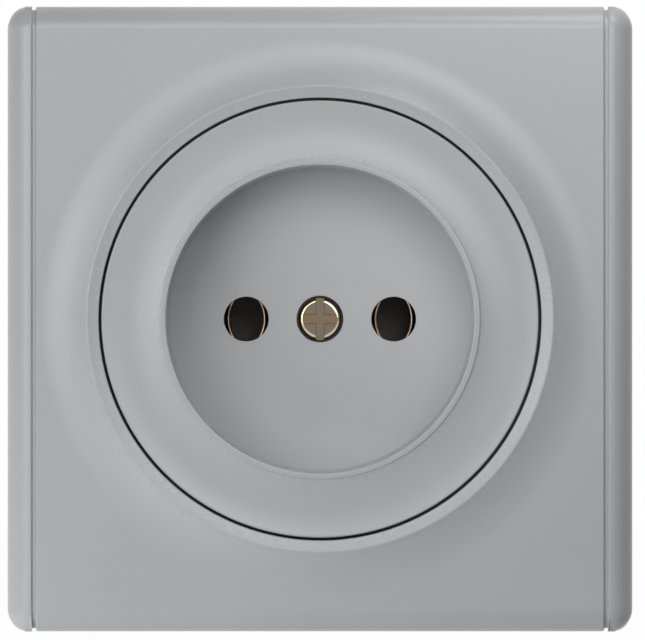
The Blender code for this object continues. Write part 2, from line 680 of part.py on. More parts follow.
def contact_base(material):
    """Moulded base: a collar round the recess, and a block with the pockets."""
    base = turned(
        [
            (0, BASE_FRONT),
            (BRACKET_OPENING, BASE_FRONT),
            (BRACKET_OPENING, GAP),
            (BASE_COLLAR_OUTER, GAP),
            (BASE_COLLAR_OUTER, BASE_FLOOR_BACK),
            (0, BASE_FLOOR_BACK),
        ]
    )
    for x in (-RIVET_PLACE, RIVET_PLACE):
        for z in (-RIVET_PLACE, RIVET_PLACE):
            ear = moved(disc(EAR_RADIUS, GAP, GAP + EAR_THICKNESS), x=x, z=z)
            base = join(base, ear)
    outline = rounded_rectangle((-BLOCK_HALF, BLOCK_BOTTOM), (BLOCK_HALF, BLOCK_TOP), BLOCK_CORNER)
    base = join(base, prism(outline, BASE_FLOOR_BACK - SINK, BLOCK_BACK))
    for x in (-RIVET_PLACE, RIVET_PLACE):
        for z in (-RIVET_PLACE, RIVET_PLACE):
            hole = disc(RIVET_RADIUS + GAP, -OVERRUN, EAR_THICKNESS + OVERRUN)
            base = cut(base, moved(hole, x=x, z=z))
    for side in (-1, 1):
        bay = box(
            (CLAW_BAY_INNER, -OVERRUN, -CLAW_BAY_HALF),
            (BASE_COLLAR_OUTER + OVERRUN, BASE_FLOOR_BACK + OVERRUN, CLAW_BAY_HALF),
        )
        if side < 0:
            bay = turned_about(bay, math.pi, "Y")
        x = side * PIN_X
        pin_hole = disc(PIN_HOLE_RADIUS + GAP, BASE_FRONT - OVERRUN, BASE_FLOOR_BACK + SINK, HOLE_STEPS)
        contact_pocket = box(
            (x - POCKET_HALF, BASE_FLOOR_BACK, POCKET_BOTTOM),
            (x + POCKET_HALF, BLOCK_BACK + OVERRUN, POCKET_TOP),
        )
        terminal_pocket = box(
            (x - TERMINAL_POCKET_HALF, BASE_FLOOR_BACK, BLOCK_BOTTOM - OVERRUN),
            (x + TERMINAL_POCKET_HALF, BLOCK_BACK + OVERRUN, TERMINAL_POCKET_TOP),
        )
        tongue_way = box(
            (x - TONGUE_WIDTH / 2 - GAP, BASE_FLOOR_BACK, TERMINAL_POCKET_TOP - SINK),
            (x + TONGUE_WIDTH / 2 + GAP, CONTACT_FRONT + TONGUE_THICKNESS + GAP, POCKET_BOTTOM + SINK),
        )
        base = cut(base, bay, moved(pin_hole, x=x), contact_pocket, terminal_pocket, tongue_way)
    boss_room = disc(BOSS_RADIUS + GAP, BASE_FRONT - OVERRUN, INSERT_FRONT)
    insert_room = disc(INSERT_RADIUS + GAP, BASE_FRONT, INSERT_BACK + GAP)
    tail_bore = disc(COVER_SCREW_RADIUS + TAIL_BORE_EXTRA, INSERT_FRONT, TAIL_BORE_BACK)
    base = cut(base, boss_room, insert_room, tail_bore)
    for z in REAR_SCREW_PLACES:
        hole = disc(REAR_SCREW_RADIUS + GAP, BLOCK_BACK - REAR_SCREW_LENGTH, BLOCK_BACK + OVERRUN)
        base = cut(base, moved(hole, z=z))
    return finish(base, "contact_base", material)


def rear_plate(material):
    """Insulating plate that closes the pockets, with two wire entries."""
    outline = rounded_rectangle((-BLOCK_HALF, BLOCK_BOTTOM), (BLOCK_HALF, BLOCK_TOP), BLOCK_CORNER)
    plate = prism(outline, REAR_PLATE_FRONT, REAR_PLATE_BACK)
    front, back = REAR_PLATE_FRONT - OVERRUN, REAR_PLATE_BACK + OVERRUN
    for x in (-PIN_X, PIN_X):
        plate = cut(plate, moved(disc(WIRE_HOLE_RADIUS, front, back), x=x, z=WIRE_HOLE_Z))
    for z in REAR_SCREW_PLACES:
        plate = cut(plate, moved(disc(REAR_SCREW_RADIUS + GAP, front, back), z=z))
    return finish(plate, "rear_plate", material)


def leaf_outline(inner, outer, top_angle, floor, underside):
    """Two curved leaves joined by a floor, seen along the pin."""
    angles = [
        top_angle - i / CURVE_STEPS * (top_angle + LEAF_FOOT_ANGLE) for i in range(CURVE_STEPS + 1)
    ]
    outside = [(LEAF_CENTRE + outer * math.cos(a), outer * math.sin(a)) for a in angles]
    inside = [(LEAF_CENTRE + inner * math.cos(a), inner * math.sin(a)) for a in angles]
    outside.append((outside[-1][0], underside))
    if floor < inside[-1][1]:
        inside.append((inside[-1][0], floor))
    right = outside + [(-x, z) for x, z in reversed(outside)]
    left = [(-x, z) for x, z in inside] + list(reversed(inside))
    return right + left


def contact(name, x, material):
    """Leaf contact, with a tongue down to the terminal."""
    outline = leaf_outline(LEAF_RADIUS, LEAF_OUTER, LEAF_TOP_ANGLE, CONTACT_FLOOR, CONTACT_UNDERSIDE)
    leaves = prism(outline, CONTACT_FRONT, CONTACT_BACK)
    half = TONGUE_WIDTH / 2
    tongue = box(
        (-half, CONTACT_FRONT, TONGUE_FOOT_BOTTOM),
        (half, CONTACT_FRONT + TONGUE_THICKNESS, CONTACT_UNDERSIDE + LEAF_THICKNESS / 2),
    )
    foot = box(
        (-half, CONTACT_FRONT + TONGUE_THICKNESS / 2, TONGUE_FOOT_BOTTOM),
        (half, TERMINAL_BACK, TONGUE_FOOT_TOP),
    )
    return finish(join(leaves, join(tongue, foot)), name, material, (x, 0, 0))


def contact_spring(name, x, material):
    """Steel clip that presses the two leaves onto the pin."""
    outline = leaf_outline(SPRING_INNER, SPRING_OUTER, SPRING_TOP_ANGLE, SPRING_FLOOR, SPRING_UNDERSIDE)
    clip = prism(outline, SPRING_FRONT, SPRING_FRONT + SPRING_LENGTH)
    return finish(clip, name, material, (x, 0, 0))


def terminal_block(name, x, material):
    """Brass block with a wire way along Y and a screw hole from below."""
    block = box(
        (-TERMINAL_HALF_WIDTH, TERMINAL_FRONT, TERMINAL_BOTTOM),
        (TERMINAL_HALF_WIDTH, TERMINAL_BACK, TERMINAL_TOP),
    )
    wire_way = box(
        (-WIRE_ROOM_HALF_WIDTH, TERMINAL_FRONT - OVERRUN, WIRE_BOTTOM),
        (WIRE_ROOM_HALF_WIDTH, TERMINAL_BACK + OVERRUN, WIRE_TOP),
    )
    thread = disc(TERMINAL_SCREW_RADIUS + GAP, -OVERRUN, TERMINAL_SCREW_WALL + SINK)
    thread = turned_about(thread, math.pi / 2, "X")
    thread = moved(thread, y=TERMINAL_SCREW_DEPTH, z=TERMINAL_BOTTOM)
    return finish(cut(block, wire_way, thread), name, material, (x, 0, 0))


def terminal_screw(name, x, material):
    reach = WIRE_BOTTOM + TERMINAL_SCREW_REACH - TERMINAL_SCREW_SEAT
    screw = plain_screw(
        TERMINAL_SCREW_HEAD_RADIUS, TERMINAL_SCREW_HEAD_LENGTH, TERMINAL_SCREW_RADIUS, reach
    )
    place = (x, TERMINAL_SCREW_DEPTH, TERMINAL_SCREW_SEAT)
    return finish(screw, name, material, place, (math.pi / 2, 0, 0))


def base_rivet(name, x, z, material):
    """Solid rivet through the bracket and an ear of the base."""
    head = RIVET_HEAD_RADIUS
    front = -BRACKET_THICKNESS - GAP
    back = GAP + EAR_THICKNESS + GAP
    profile = [
        (0, front - RIVET_HEAD_LENGTH),
        (head - RIVET_HEAD_LENGTH / 2, front - RIVET_HEAD_LENGTH),
        (head, front - RIVET_HEAD_LENGTH / 2),
        (head, front),
        (RIVET_RADIUS, front),
        (RIVET_RADIUS, back),
        (head, back),
        (head, back + RIVET_HEAD_LENGTH / 2),
        (head - RIVET_HEAD_LENGTH / 2, back + RIVET_HEAD_LENGTH),
        (0, back + RIVET_HEAD_LENGTH),
    ]
    return finish(turned(profile, SMALL_STEPS), name, material, (x, 0, z))


def rear_screw(name, z, material):
    length = REAR_SCREW_LENGTH - GAP
    screw = plain_screw(REAR_SCREW_HEAD_RADIUS, REAR_SCREW_HEAD_LENGTH, REAR_SCREW_RADIUS, length)
    return finish(screw, name, material, (0, REAR_PLATE_BACK + GAP, z), (0, 0, math.pi))


def claw(name, side, material):
    """Sheet steel claw about its trunnions: a leg back, and an arm outwards."""
    half = CLAW_THICKNESS / 2
    leg = box((-half, -half, -CLAW_HALF_WIDTH), (half, CLAW_LENGTH, CLAW_HALF_WIDTH))
    arm = box((-half, -half, -CLAW_HALF_WIDTH), (CLAW_ARM_END, half, CLAW_HALF_WIDTH))
    foot_front = CLAW_LENGTH - CLAW_THICKNESS
    foot = box((-half, foot_front, -CLAW_HALF_WIDTH), (half + CLAW_FOOT, CLAW_LENGTH, CLAW_HALF_WIDTH))
    body = join(leg, arm, foot)
    screw_hole = box(
        (CLAW_HOLE_INNER, -half - OVERRUN, -CLAW_SLOT_HALF),
        (CLAW_HOLE_OUTER, half + OVERRUN, CLAW_SLOT_HALF),
    )
    fork = box(
        (-half - OVERRUN, CLAW_FORK_FRONT, -CLAW_SLOT_HALF),
        (half + OVERRUN, CLAW_FORK_BACK, CLAW_SLOT_HALF),
    )
    body = cut(body, screw_hole, fork)
    tip = half + CLAW_FOOT
    for z in (-CLAW_HALF_WIDTH / 2, 0, CLAW_HALF_WIDTH / 2):
        notch = [(tip - CLAW_TOOTH, z), (tip + SINK, z - CLAW_TOOTH), (tip + SINK, z + CLAW_TOOTH)]
        body = cut(body, prism(notch, foot_front - OVERRUN, CLAW_LENGTH + OVERRUN))
    for direction in (-1, 1):
        pin = disc(TRUNNION_RADIUS, CLAW_HALF_WIDTH - SINK, TRUNNION_END)
        body = join(body, turned_about(pin, direction * math.pi / 2, "X"))
    turn = 0 if side > 0 else math.pi
    place = (side * CLAW_PIVOT_X, CLAW_PIVOT_DEPTH, 0)
    return finish(body, name, material, place, (0, turn, 0))


def claw_screw(name, side, material):
    screw = plain_screw(
        CLAW_SCREW_HEAD_RADIUS, CLAW_SCREW_HEAD_LENGTH, CLAW_SCREW_RADIUS, CLAW_SCREW_LENGTH
    )
    place = (side * CLAW_SCREW_X, -BRACKET_THICKNESS - GAP, 0)
    return finish(screw, name, material, place)


def build():
    clear_scene()
    grey = make_material("grey_plastic", (0.42, 0.42, 0.43), 0.45)
    dark = make_material("dark_moulding", (0.02, 0.02, 0.022), 0.5)
    steel = make_material("zinc_steel", (0.55, 0.56, 0.58), 0.35, 1.0)
    spring_steel = make_material("spring_steel", (0.35, 0.35, 0.37), 0.3, 1.0)
    copper = make_material("contact_copper", (0.72, 0.4, 0.25), 0.3, 1.0)
    brass = make_material("brass", (0.75, 0.58, 0.3), 0.3, 1.0)
    nickel = make_material("nickelled_steel", (0.6, 0.52, 0.42), 0.28, 1.0)

    frame_carrier(grey)
    frame_plate(grey)
    socket_cover(grey)
    cover_screw(nickel)
    screw_insert(brass)
    support_bracket(steel)
    contact_base(dark)
    rear_plate(dark)
    for name, side in (("left", -1), ("right", 1)):
        x = side * PIN_X
        side_strip(f"side_strip_{name}", side, grey)
        contact(f"contact_{name}", x, copper)
        contact_spring(f"contact_spring_{name}", x, spring_steel)
        terminal_block(f"terminal_block_{name}", x, brass)
        terminal_screw(f"terminal_screw_{name}", x, steel)
        claw(f"claw_{name}", side, steel)
        claw_screw(f"claw_screw_{name}", side, steel)
        base_rivet(f"base_rivet_upper_{name}", side * RIVET_PLACE, RIVET_PLACE, steel)
        base_rivet(f"base_rivet_lower_{name}", side * RIVET_PLACE, -RIVET_PLACE, steel)
    for name, z in zip(("upper", "lower"), REAR_SCREW_PLACES):
        rear_screw(f"rear_screw_{name}", z, steel)


build()
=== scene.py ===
# %% [markdown]
# # A two-pin wall socket in satin grey plastic
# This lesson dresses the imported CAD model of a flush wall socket. The front
# that one sees on a wall is modelled again with fine, rounded edges. The
# pieces of the mechanism behind it are copied from the CAD solids and get
# narrow soft edges. Then come the finishes, the camera and the light. The
# socket faces -Y, the wall's surface is the plane y = 0, and everything is in
# metres. Heights are counted from the wall towards the viewer.

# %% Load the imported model
import json
import math

import bmesh
import bpy
from mathutils import Matrix, Vector

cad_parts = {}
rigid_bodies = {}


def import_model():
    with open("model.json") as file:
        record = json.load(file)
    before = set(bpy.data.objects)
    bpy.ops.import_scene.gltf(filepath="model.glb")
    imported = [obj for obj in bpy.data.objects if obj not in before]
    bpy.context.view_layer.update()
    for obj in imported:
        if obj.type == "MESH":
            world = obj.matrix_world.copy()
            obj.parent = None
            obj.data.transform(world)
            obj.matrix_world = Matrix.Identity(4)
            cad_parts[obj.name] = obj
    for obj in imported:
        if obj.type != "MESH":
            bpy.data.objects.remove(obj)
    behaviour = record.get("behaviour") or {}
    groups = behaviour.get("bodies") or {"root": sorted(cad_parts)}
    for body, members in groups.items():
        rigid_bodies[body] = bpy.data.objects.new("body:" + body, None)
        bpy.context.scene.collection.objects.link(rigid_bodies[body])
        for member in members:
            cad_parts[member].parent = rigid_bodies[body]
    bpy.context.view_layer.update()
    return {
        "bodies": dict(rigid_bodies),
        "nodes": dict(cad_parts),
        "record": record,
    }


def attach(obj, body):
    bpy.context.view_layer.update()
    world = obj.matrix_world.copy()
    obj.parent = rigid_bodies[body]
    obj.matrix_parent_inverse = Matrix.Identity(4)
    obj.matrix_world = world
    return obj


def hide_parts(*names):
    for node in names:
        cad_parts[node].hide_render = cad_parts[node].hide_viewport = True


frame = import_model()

MM = 0.001
loaded = set(frame["nodes"].values()) | set(frame["bodies"].values())
for leftover in [obj for obj in bpy.data.objects if obj not in loaded]:
    bpy.data.objects.remove(leftover, do_unlink=True)
print("nodes from the CAD model:", len(frame["nodes"]))

# %% [markdown]
# ## From a bmesh to a finished piece
# Every piece below is built in a bmesh, which is Blender's editable mesh in
# memory. The same steps could be done by hand in edit mode, but a script can
# repeat them exactly.

# %% Helper that finishes a piece
MERGE = 0.0005 * MM
CRISP_ANGLE = math.radians(35)
pieces = {}


def finish_piece(name, bm, body="socket"):
    """A finished, smooth-shaded piece that stands for a CAD node."""
    bmesh.ops.remove_doubles(bm, verts=bm.verts, dist=MERGE)
    bmesh.ops.recalc_face_normals(bm, faces=bm.faces)
    open_edges = sum(1 for edge in bm.edges if not edge.is_manifold)
    mesh = bpy.data.meshes.new(name)
    bm.to_mesh(mesh)
    bm.free()
    mesh.shade_smooth()
    mesh.set_sharp_from_angle(angle=CRISP_ANGLE)
    piece = bpy.data.objects.new(name, mesh)
    bpy.context.scene.collection.objects.link(piece)
    piece.modifiers.new("flat_faces_stay_flat", "WEIGHTED_NORMAL").keep_sharp = True
    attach(piece, body)
    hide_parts(name.removesuffix("_fine"))
    pieces[name] = piece
    print(f"{name}: {len(mesh.polygons)} faces, {open_edges} open edges")
    return piece


# %% [markdown]
# ## The round cover with its deep recess
# The cover is a moulded dish. From the middle outwards it has a flat floor
# 15 mm down, a nearly straight wall, a narrow raised lip, and a shallow
# trough that rises again towards the rim. It could be cut from a cylinder,
# but small rounds are hard to add to cut edges. All of it is round, so half
# of its section is drawn once as a chain of edges and spun about the middle
# axis. The trough's curve comes from subdividing one straight edge and
# setting the depth of its points by a parabola.

# %% Sizes of the cover
LIP_INNER = 19.7 * MM
LIP_OUTER = 20.5 * MM
LIP_HEIGHT = 10.4 * MM
COVER_RADIUS = 27.95 * MM
COVER_WALL = 2 * MM
TROUGH_RADIUS = 24.7 * MM
TROUGH_HEIGHT = 9.67 * MM
CREST_RADIUS = 29.8 * MM
CREST_HEIGHT = 10.45 * MM
FLOOR_RADIUS = 19.45 * MM
FLOOR_DEPTH = 4.6 * MM
FLOOR_BACK = 6.6 * MM
SKIRT_BOTTOM = 5.29 * MM
BOWL_RADIUS = 21.7 * MM
TROUGH_CURVE = (CREST_HEIGHT - TROUGH_HEIGHT) / (CREST_RADIUS - TROUGH_RADIUS) ** 2


def dish_height(radius):
    """Height of the trough's parabola above the wall."""
    return TROUGH_HEIGHT + TROUGH_CURVE * (radius - TROUGH_RADIUS) ** 2


print("cover edge height, mm:", round(dish_height(COVER_RADIUS) / MM, 3))

# %% Helpers that draw a section and spin it
SPIN_STEPS = 192


def chain(bm, points):
    """Joins (radius, height) points by edges, in the plane z = 0."""
    corners = [bm.verts.new((radius, -height, 0)) for radius, height in points]
    return [bm.edges.new(pair) for pair in zip(corners, corners[1:])]


def curve_edge(bm, edge, cuts, height_at):
    """Cuts an edge of a section into steps that follow height_at(radius)."""
    ends = set(edge.verts)
    cut = bmesh.ops.subdivide_edges(bm, edges=[edge], cuts=cuts)
    for vert in cut["geom_inner"]:
        if isinstance(vert, bmesh.types.BMVert) and vert not in ends:
            vert.co.y = -height_at(vert.co.x)


def spin_section(bm, steps=SPIN_STEPS):
    """Spins all that is drawn so far about the socket's middle axis."""
    bmesh.ops.spin(
        bm,
        geom=bm.verts[:] + bm.edges[:],
        cent=(0, 0, 0),
        axis=(0, 1, 0),
        angle=math.tau,
        steps=steps,
        use_merge=True,
    )


# %% Helpers that find edges and round them
NEAR = 0.004 * MM


def ring_edges(bm, radius, height):
    """All edges that run along one circle round the middle axis."""

    def on_circle(vert):
        reach = math.hypot(vert.co.x, vert.co.z)
        return abs(reach - radius) < NEAR and abs(vert.co.y + height) < NEAR

    return [edge for edge in bm.edges if all(on_circle(vert) for vert in edge.verts)]


def round_off(bm, edges, radius, segments=4):
    """Bevels edges to a small round."""
    bmesh.ops.bevel(
        bm,
        geom=edges,
        offset=radius,
        offset_type="OFFSET",
        segments=segments,
        profile=0.5,
        affect="EDGES",
        material=-1,
    )


# %% Spin the cover's front, wall and skirt
TROUGH_CUTS = 20
LIP_INNER_ROUND = 0.16 * MM
LIP_OUTER_ROUND = 0.12 * MM
COVER_ROUND = 0.22 * MM

cover = bmesh.new()
section = chain(
    cover,
    [
        (FLOOR_RADIUS, -FLOOR_DEPTH),
        (LIP_INNER, LIP_HEIGHT),
        (LIP_OUTER, LIP_HEIGHT),
        (LIP_OUTER, dish_height(LIP_OUTER)),
        (COVER_RADIUS, dish_height(COVER_RADIUS)),
        (COVER_RADIUS, SKIRT_BOTTOM),
        (COVER_RADIUS - COVER_WALL, SKIRT_BOTTOM),
        (COVER_RADIUS - COVER_WALL, TROUGH_HEIGHT - COVER_WALL),
        (BOWL_RADIUS, TROUGH_HEIGHT - COVER_WALL),
        (BOWL_RADIUS, -FLOOR_BACK),
    ],
)
curve_edge(cover, section[3], TROUGH_CUTS, dish_height)
spin_section(cover)
round_off(cover, ring_edges(cover, LIP_INNER, LIP_HEIGHT), LIP_INNER_ROUND)
round_off(cover, ring_edges(cover, LIP_OUTER, LIP_HEIGHT), LIP_OUTER_ROUND)
round_off(cover, ring_edges(cover, COVER_RADIUS, dish_height(COVER_RADIUS)), COVER_ROUND)
print("cover faces after the spin:", len(cover.faces))

# %% [markdown]
# ## Floor, pin holes and screw well
# The floor of the recess is flat, with two holes for the pins and a well for
# the screw. Booleans could cut them, but their rims would then have to be
# found again to be rounded. A flat floor needs no grid either, so a triangle
# fill spans the space between the wall's lowest loop and the three hole
# circles, and leaves the holes open. Each hole is then pushed back step by
# step by extruding its circle. The first small steps round the rim, as a
# moulded edge has it.

# %% Helpers for a hole
HOLE_STEPS = 64
RIM = 0.1 * MM
RIM_STEPS = ((0.06, 0.012), (0.02, 0.045), (0, 0.1))  # outwards and back, in mm


def hole_circle(bm, radius, x, height):
    """A circle of edges that faces the front, for the rim of a hole."""
    place = Matrix.Translation((x, -height, 0)) @ Matrix.Rotation(math.pi / 2, 4, "X")
    ring = bmesh.ops.create_circle(bm, radius=radius, segments=HOLE_STEPS, matrix=place)
    return list(dict.fromkeys(edge for vert in ring["verts"] for edge in vert.link_edges))


def push_loop(bm, edges, x, steps):
    """Extrudes a circle of edges through (radius, height) steps."""
    for radius, height in steps:
        pulled = bmesh.ops.extrude_edge_only(bm, edges=edges)["geom"]
        for vert in (item for item in pulled if isinstance(item, bmesh.types.BMVert)):
            out = Vector((vert.co.x - x, vert.co.z)).normalized() * radius
            vert.co = (x + out.x, -height, out.y)
        edges = [item for item in pulled if isinstance(item, bmesh.types.BMEdge)]
    return edges


def rim_round(radius):
    """The steps that round the rim of a hole in the floor."""
    return [(radius + out * MM, -FLOOR_DEPTH - back * MM) for out, back in RIM_STEPS]


# %% Span the floor round its holes
PIN_X = 9.5 * MM
PIN_HOLE = 2.87 * MM
WELL = 3.0 * MM

floor_loop = ring_edges(cover, FLOOR_RADIUS, -FLOOR_DEPTH)
floor_round = push_loop(cover, floor_loop, 0, [(FLOOR_RADIUS - RIM, -FLOOR_DEPTH)])
pin_rims = {x: hole_circle(cover, PIN_HOLE + RIM, x, -FLOOR_DEPTH) for x in (-PIN_X, PIN_X)}
well_rim = hole_circle(cover, WELL + RIM, 0, -FLOOR_DEPTH)
spans = floor_round + well_rim + [edge for rim in pin_rims.values() for edge in rim]
filled = bmesh.ops.triangle_fill(cover, use_beauty=True, edges=spans, normal=(0, -1, 0))
print("faces and edges of the floor:", len(filled["geom"]))

# %% Push the holes back
WELL_DEPTH = 6.8 * MM
SCREW_HOLE = 1.9 * MM
BOSS_RADIUS = 4.5 * MM
BOSS_BACK = 8.2 * MM

backs = []
for x, rim in pin_rims.items():
    backs += push_loop(cover, rim, x, rim_round(PIN_HOLE) + [(PIN_HOLE, -FLOOR_BACK)])
boss = [
    (WELL, -WELL_DEPTH),
    (SCREW_HOLE, -WELL_DEPTH),
    (SCREW_HOLE, -BOSS_BACK),
    (BOSS_RADIUS, -BOSS_BACK),
    (BOSS_RADIUS, -FLOOR_BACK),
]
backs += push_loop(cover, well_rim, 0, rim_round(WELL) + boss)
backs += ring_edges(cover, BOWL_RADIUS, -FLOOR_BACK)
bmesh.ops.triangle_fill(cover, use_beauty=True, edges=backs, normal=(0, 1, 0))
finish_piece("socket_cover_fine", cover)

# %% [markdown]
# ## The centre plate and its raised ring
# The plate is one moulding: a flat face that rises in a hollow flank to a
# ring round the cover, and that rolls over at its top and bottom ends. It
# could be pulled out of one coarse mesh with a Subdivision Surface, but that
# would miss the measured sizes. So each part of it is made by the operator
# that fits. The ring is round and is spun like the cover.

# %% Spin the ring
FACE = 9.0 * MM
BORE = 28.3 * MM
RING_FOOT = 36.0 * MM
TUBE = 29.5 * MM
UNDERSIDE = 7.2 * MM
FLANK_CUTS = 24
CREST_CUTS = 5
CREST_ROUND = 0.14 * MM
BORE_ROUND = 0.12 * MM


def flank_height(radius):
    """The ring's hollow flank, level with the face where it ends."""
    share = (radius - CREST_RADIUS) / (RING_FOOT - CREST_RADIUS)
    return FACE + (CREST_HEIGHT - FACE) * (1 - share) ** 2


plate = bmesh.new()
section = chain(
    plate,
    [
        (RING_FOOT, FACE),
        (CREST_RADIUS, CREST_HEIGHT),
        (BORE, dish_height(BORE)),
        (BORE, SKIRT_BOTTOM),
        (TUBE, SKIRT_BOTTOM),
        (TUBE, UNDERSIDE),
    ],
)
curve_edge(plate, section[0], FLANK_CUTS, flank_height)
curve_edge(plate, section[1], CREST_CUTS, dish_height)
spin_section(plate)
round_off(plate, ring_edges(plate, CREST_RADIUS, CREST_HEIGHT), CREST_ROUND)
round_off(plate, ring_edges(plate, BORE, dish_height(BORE)), BORE_ROUND)
print("ring faces:", len(plate.faces))

# %% [markdown]
# ## The flat of the plate
# Round the ring the plate is plain and flat, with a small round along the
# groove on each side. A Boolean could join a box to the ring, but a fill is
# cleaner where two flat outlines meet. So the box's front and back faces are
# taken off, and a triangle fill spans from their edges to the ring's foot.
# The grooves look shallow on the wall, so a low sill stands in each of them.

# %% Helpers for flat parts
EXACT = 0.0001 * MM


def block(bm, low, high):
    """A box between two corners."""
    size = [b - a for a, b in zip(low, high)]
    middle = [(a + b) / 2 for a, b in zip(low, high)]
    place = Matrix.Translation(middle) @ Matrix.Diagonal((*size, 1))
    return bmesh.ops.create_cube(bm, size=1, matrix=place)["verts"]


def same(a, b):
    """Whether two coordinates agree, apart from rounding."""
    return abs(a - b) < EXACT


# %% Join the flat face to the ring
PLATE_HALF = 36.38 * MM
ROLL_CENTRE = 37.1 * MM
GROOVE_ROUND = 0.2 * MM
SLAB_FACE_AREA = 1000 * MM * MM

slab = set(block(plate, (-PLATE_HALF, -FACE, -ROLL_CENTRE), (PLATE_HALF, -UNDERSIDE, ROLL_CENTRE)))
sides = [e for e in plate.edges if slab.issuperset(e.verts)]
sides = [e for e in sides if all(same(v.co.y, -FACE) for v in e.verts)]
sides = [e for e in sides if same(e.verts[0].co.x, e.verts[1].co.x)]
round_off(plate, sides, GROOVE_ROUND)
flat = [f for f in plate.faces if len(f.verts) == 4 and f.calc_area() > SLAB_FACE_AREA]
flat = [f for f in flat if abs(abs(f.normal.y) - 1) < 1e-4]
bmesh.ops.delete(plate, geom=flat, context="FACES_ONLY")
for height in (FACE, UNDERSIDE):
    spans = [e for e in plate.edges if e.is_boundary]
    spans = [e for e in spans if all(same(v.co.y, -height) for v in e.verts)]
    bmesh.ops.triangle_fill(plate, use_beauty=True, edges=spans)
print("plate faces:", len(plate.faces))

# %% Lay a sill into each groove
SILL_INNER = 36.2 * MM
SILL_OUTER = 36.95 * MM
SILL_FRONT = 8.6 * MM
SILL_BACK = UNDERSIDE + 0.3 * MM

for side in (-1, 1):
    low_x, high_x = sorted((side * SILL_INNER, side * SILL_OUTER))
    block(plate, (low_x, -SILL_FRONT, -ROLL_CENTRE), (high_x, -SILL_BACK, ROLL_CENTRE))
print("sills lie below the face by mm:", round((FACE - SILL_FRONT) / MM, 2))

# %% [markdown]
# ## The rolled ends of the plate
# At its top and bottom the plate rolls over towards the wall. A bevel can't
# make that round, because it is wider than the plate is thick. Each end face
# is spun by a quarter turn instead, which carries the rounding along the
# groove round the bend, and is then extruded down to the skirt.

# %% Roll the ends over
ROLL = 2.9 * MM
ROLL_STEPS = 16
SKIRT_HEIGHT = 3.0 * MM

for end in (-1, 1):
    edge_z = end * ROLL_CENTRE
    caps = [f for f in plate.faces if all(same(v.co.z, edge_z) for v in f.verts)]
    cap_edges = list(dict.fromkeys(e for f in caps for e in f.edges))
    cap_verts = list(dict.fromkeys(v for f in caps for v in f.verts))
    rolled = bmesh.ops.spin(
        plate,
        geom=caps + cap_edges + cap_verts,
        cent=(0, -FACE + ROLL, edge_z),
        axis=(1, 0, 0),
        angle=-end * math.pi / 2,
        steps=ROLL_STEPS,
        use_duplicate=False,
    )
    last = [f for f in rolled["geom_last"] if isinstance(f, bmesh.types.BMFace)]
    skirt = bmesh.ops.extrude_face_region(plate, geom=last)["geom"]
    bmesh.ops.delete(plate, geom=last, context="FACES_ONLY")
    moved = [v for v in skirt if isinstance(v, bmesh.types.BMVert)]
    bmesh.ops.translate(plate, verts=moved, vec=(0, FACE - ROLL - SKIRT_HEIGHT, 0))
finish_piece("frame_plate_fine", plate)

# %% [markdown]
# ## The two side strips
# Each strip is a long cap beside the groove, with a large round on its outer
# side that meets the same round at both ends in a piece of a sphere. Spins
# could make the rounds, but they are awkward to join in the corners. A bevel
# of three edges that meet in a corner makes just that shape, so the strip is
# a plain block with one wide bevel, and then a narrow one along the groove.
# The left strip is the right one, mirrored.

# %% Start a strip from a block
FRAME_HALF = 40.0 * MM
STRIP_INNER = 36.85 * MM
SKIRT_INNER = 37.8 * MM


def strip_block():
    """The right strip with square edges: a skirt, and a land in front of it."""
    bm = bmesh.new()
    block(bm, (SKIRT_INNER, -FACE, -FRAME_HALF), (FRAME_HALF, -SKIRT_HEIGHT, FRAME_HALF))
    everything = bm.verts[:] + bm.edges[:] + bm.faces[:]
    bmesh.ops.bisect_plane(bm, geom=everything, plane_co=(0, -UNDERSIDE, 0), plane_no=(0, 1, 0))
    inner = [f for f in bm.faces if all(same(v.co.x, SKIRT_INNER) for v in f.verts)]
    inner = [f for f in inner if f.calc_center_median().y < -UNDERSIDE]
    land = bmesh.ops.extrude_face_region(bm, geom=inner)["geom"]
    bmesh.ops.delete(bm, geom=inner, context="FACES_ONLY")
    moved = [v for v in land if isinstance(v, bmesh.types.BMVert)]
    bmesh.ops.translate(bm, verts=moved, vec=(STRIP_INNER - SKIRT_INNER, 0, 0))
    flatter = math.radians(1)
    bmesh.ops.dissolve_limit(bm, angle_limit=flatter, verts=bm.verts[:], edges=bm.edges[:])
    return bm


# %% Round the strips


def outside(edge):
    """Whether an edge lies between two of the front, outer and end faces."""
    a, b = (vert.co for vert in edge.verts)
    front = same(a.y, -FACE) and same(b.y, -FACE)
    outer = same(a.x, FRAME_HALF) and same(b.x, FRAME_HALF)
    end = same(abs(a.z), FRAME_HALF) and same(a.z, b.z)
    return (front and outer) or (front and end) or (outer and end)


def side_strip(side):
    """One strip as a bmesh; side is -1 for left and 1 for right."""
    bm = strip_block()
    round_off(bm, [edge for edge in bm.edges if outside(edge)], ROLL, ROLL_STEPS)
    lip = [e for e in bm.edges if all(same(v.co.x, STRIP_INNER) for v in e.verts)]
    lip = [e for e in lip if any(v.co.y < -UNDERSIDE - 0.01 * MM for v in e.verts)]
    lip = [e for e in lip if all(v.co.y < -UNDERSIDE + EXACT for v in e.verts)]
    round_off(bm, lip, GROOVE_ROUND)
    if side < 0:
        bmesh.ops.scale(bm, vec=(-1, 1, 1), verts=bm.verts)
    return bm


finish_piece("side_strip_right_fine", side_strip(1))
finish_piece("side_strip_left_fine", side_strip(-1))

# %% [markdown]
# ## The screw in the middle
# The screw holds the cover. It has a flat face with a rounded rim, and a
# smooth shank stands in for its thread. A cylinder could be bevelled and
# extruded into it, but a screw is turned on a lathe, and a spin does the
# same: half of the section goes once round the axis.

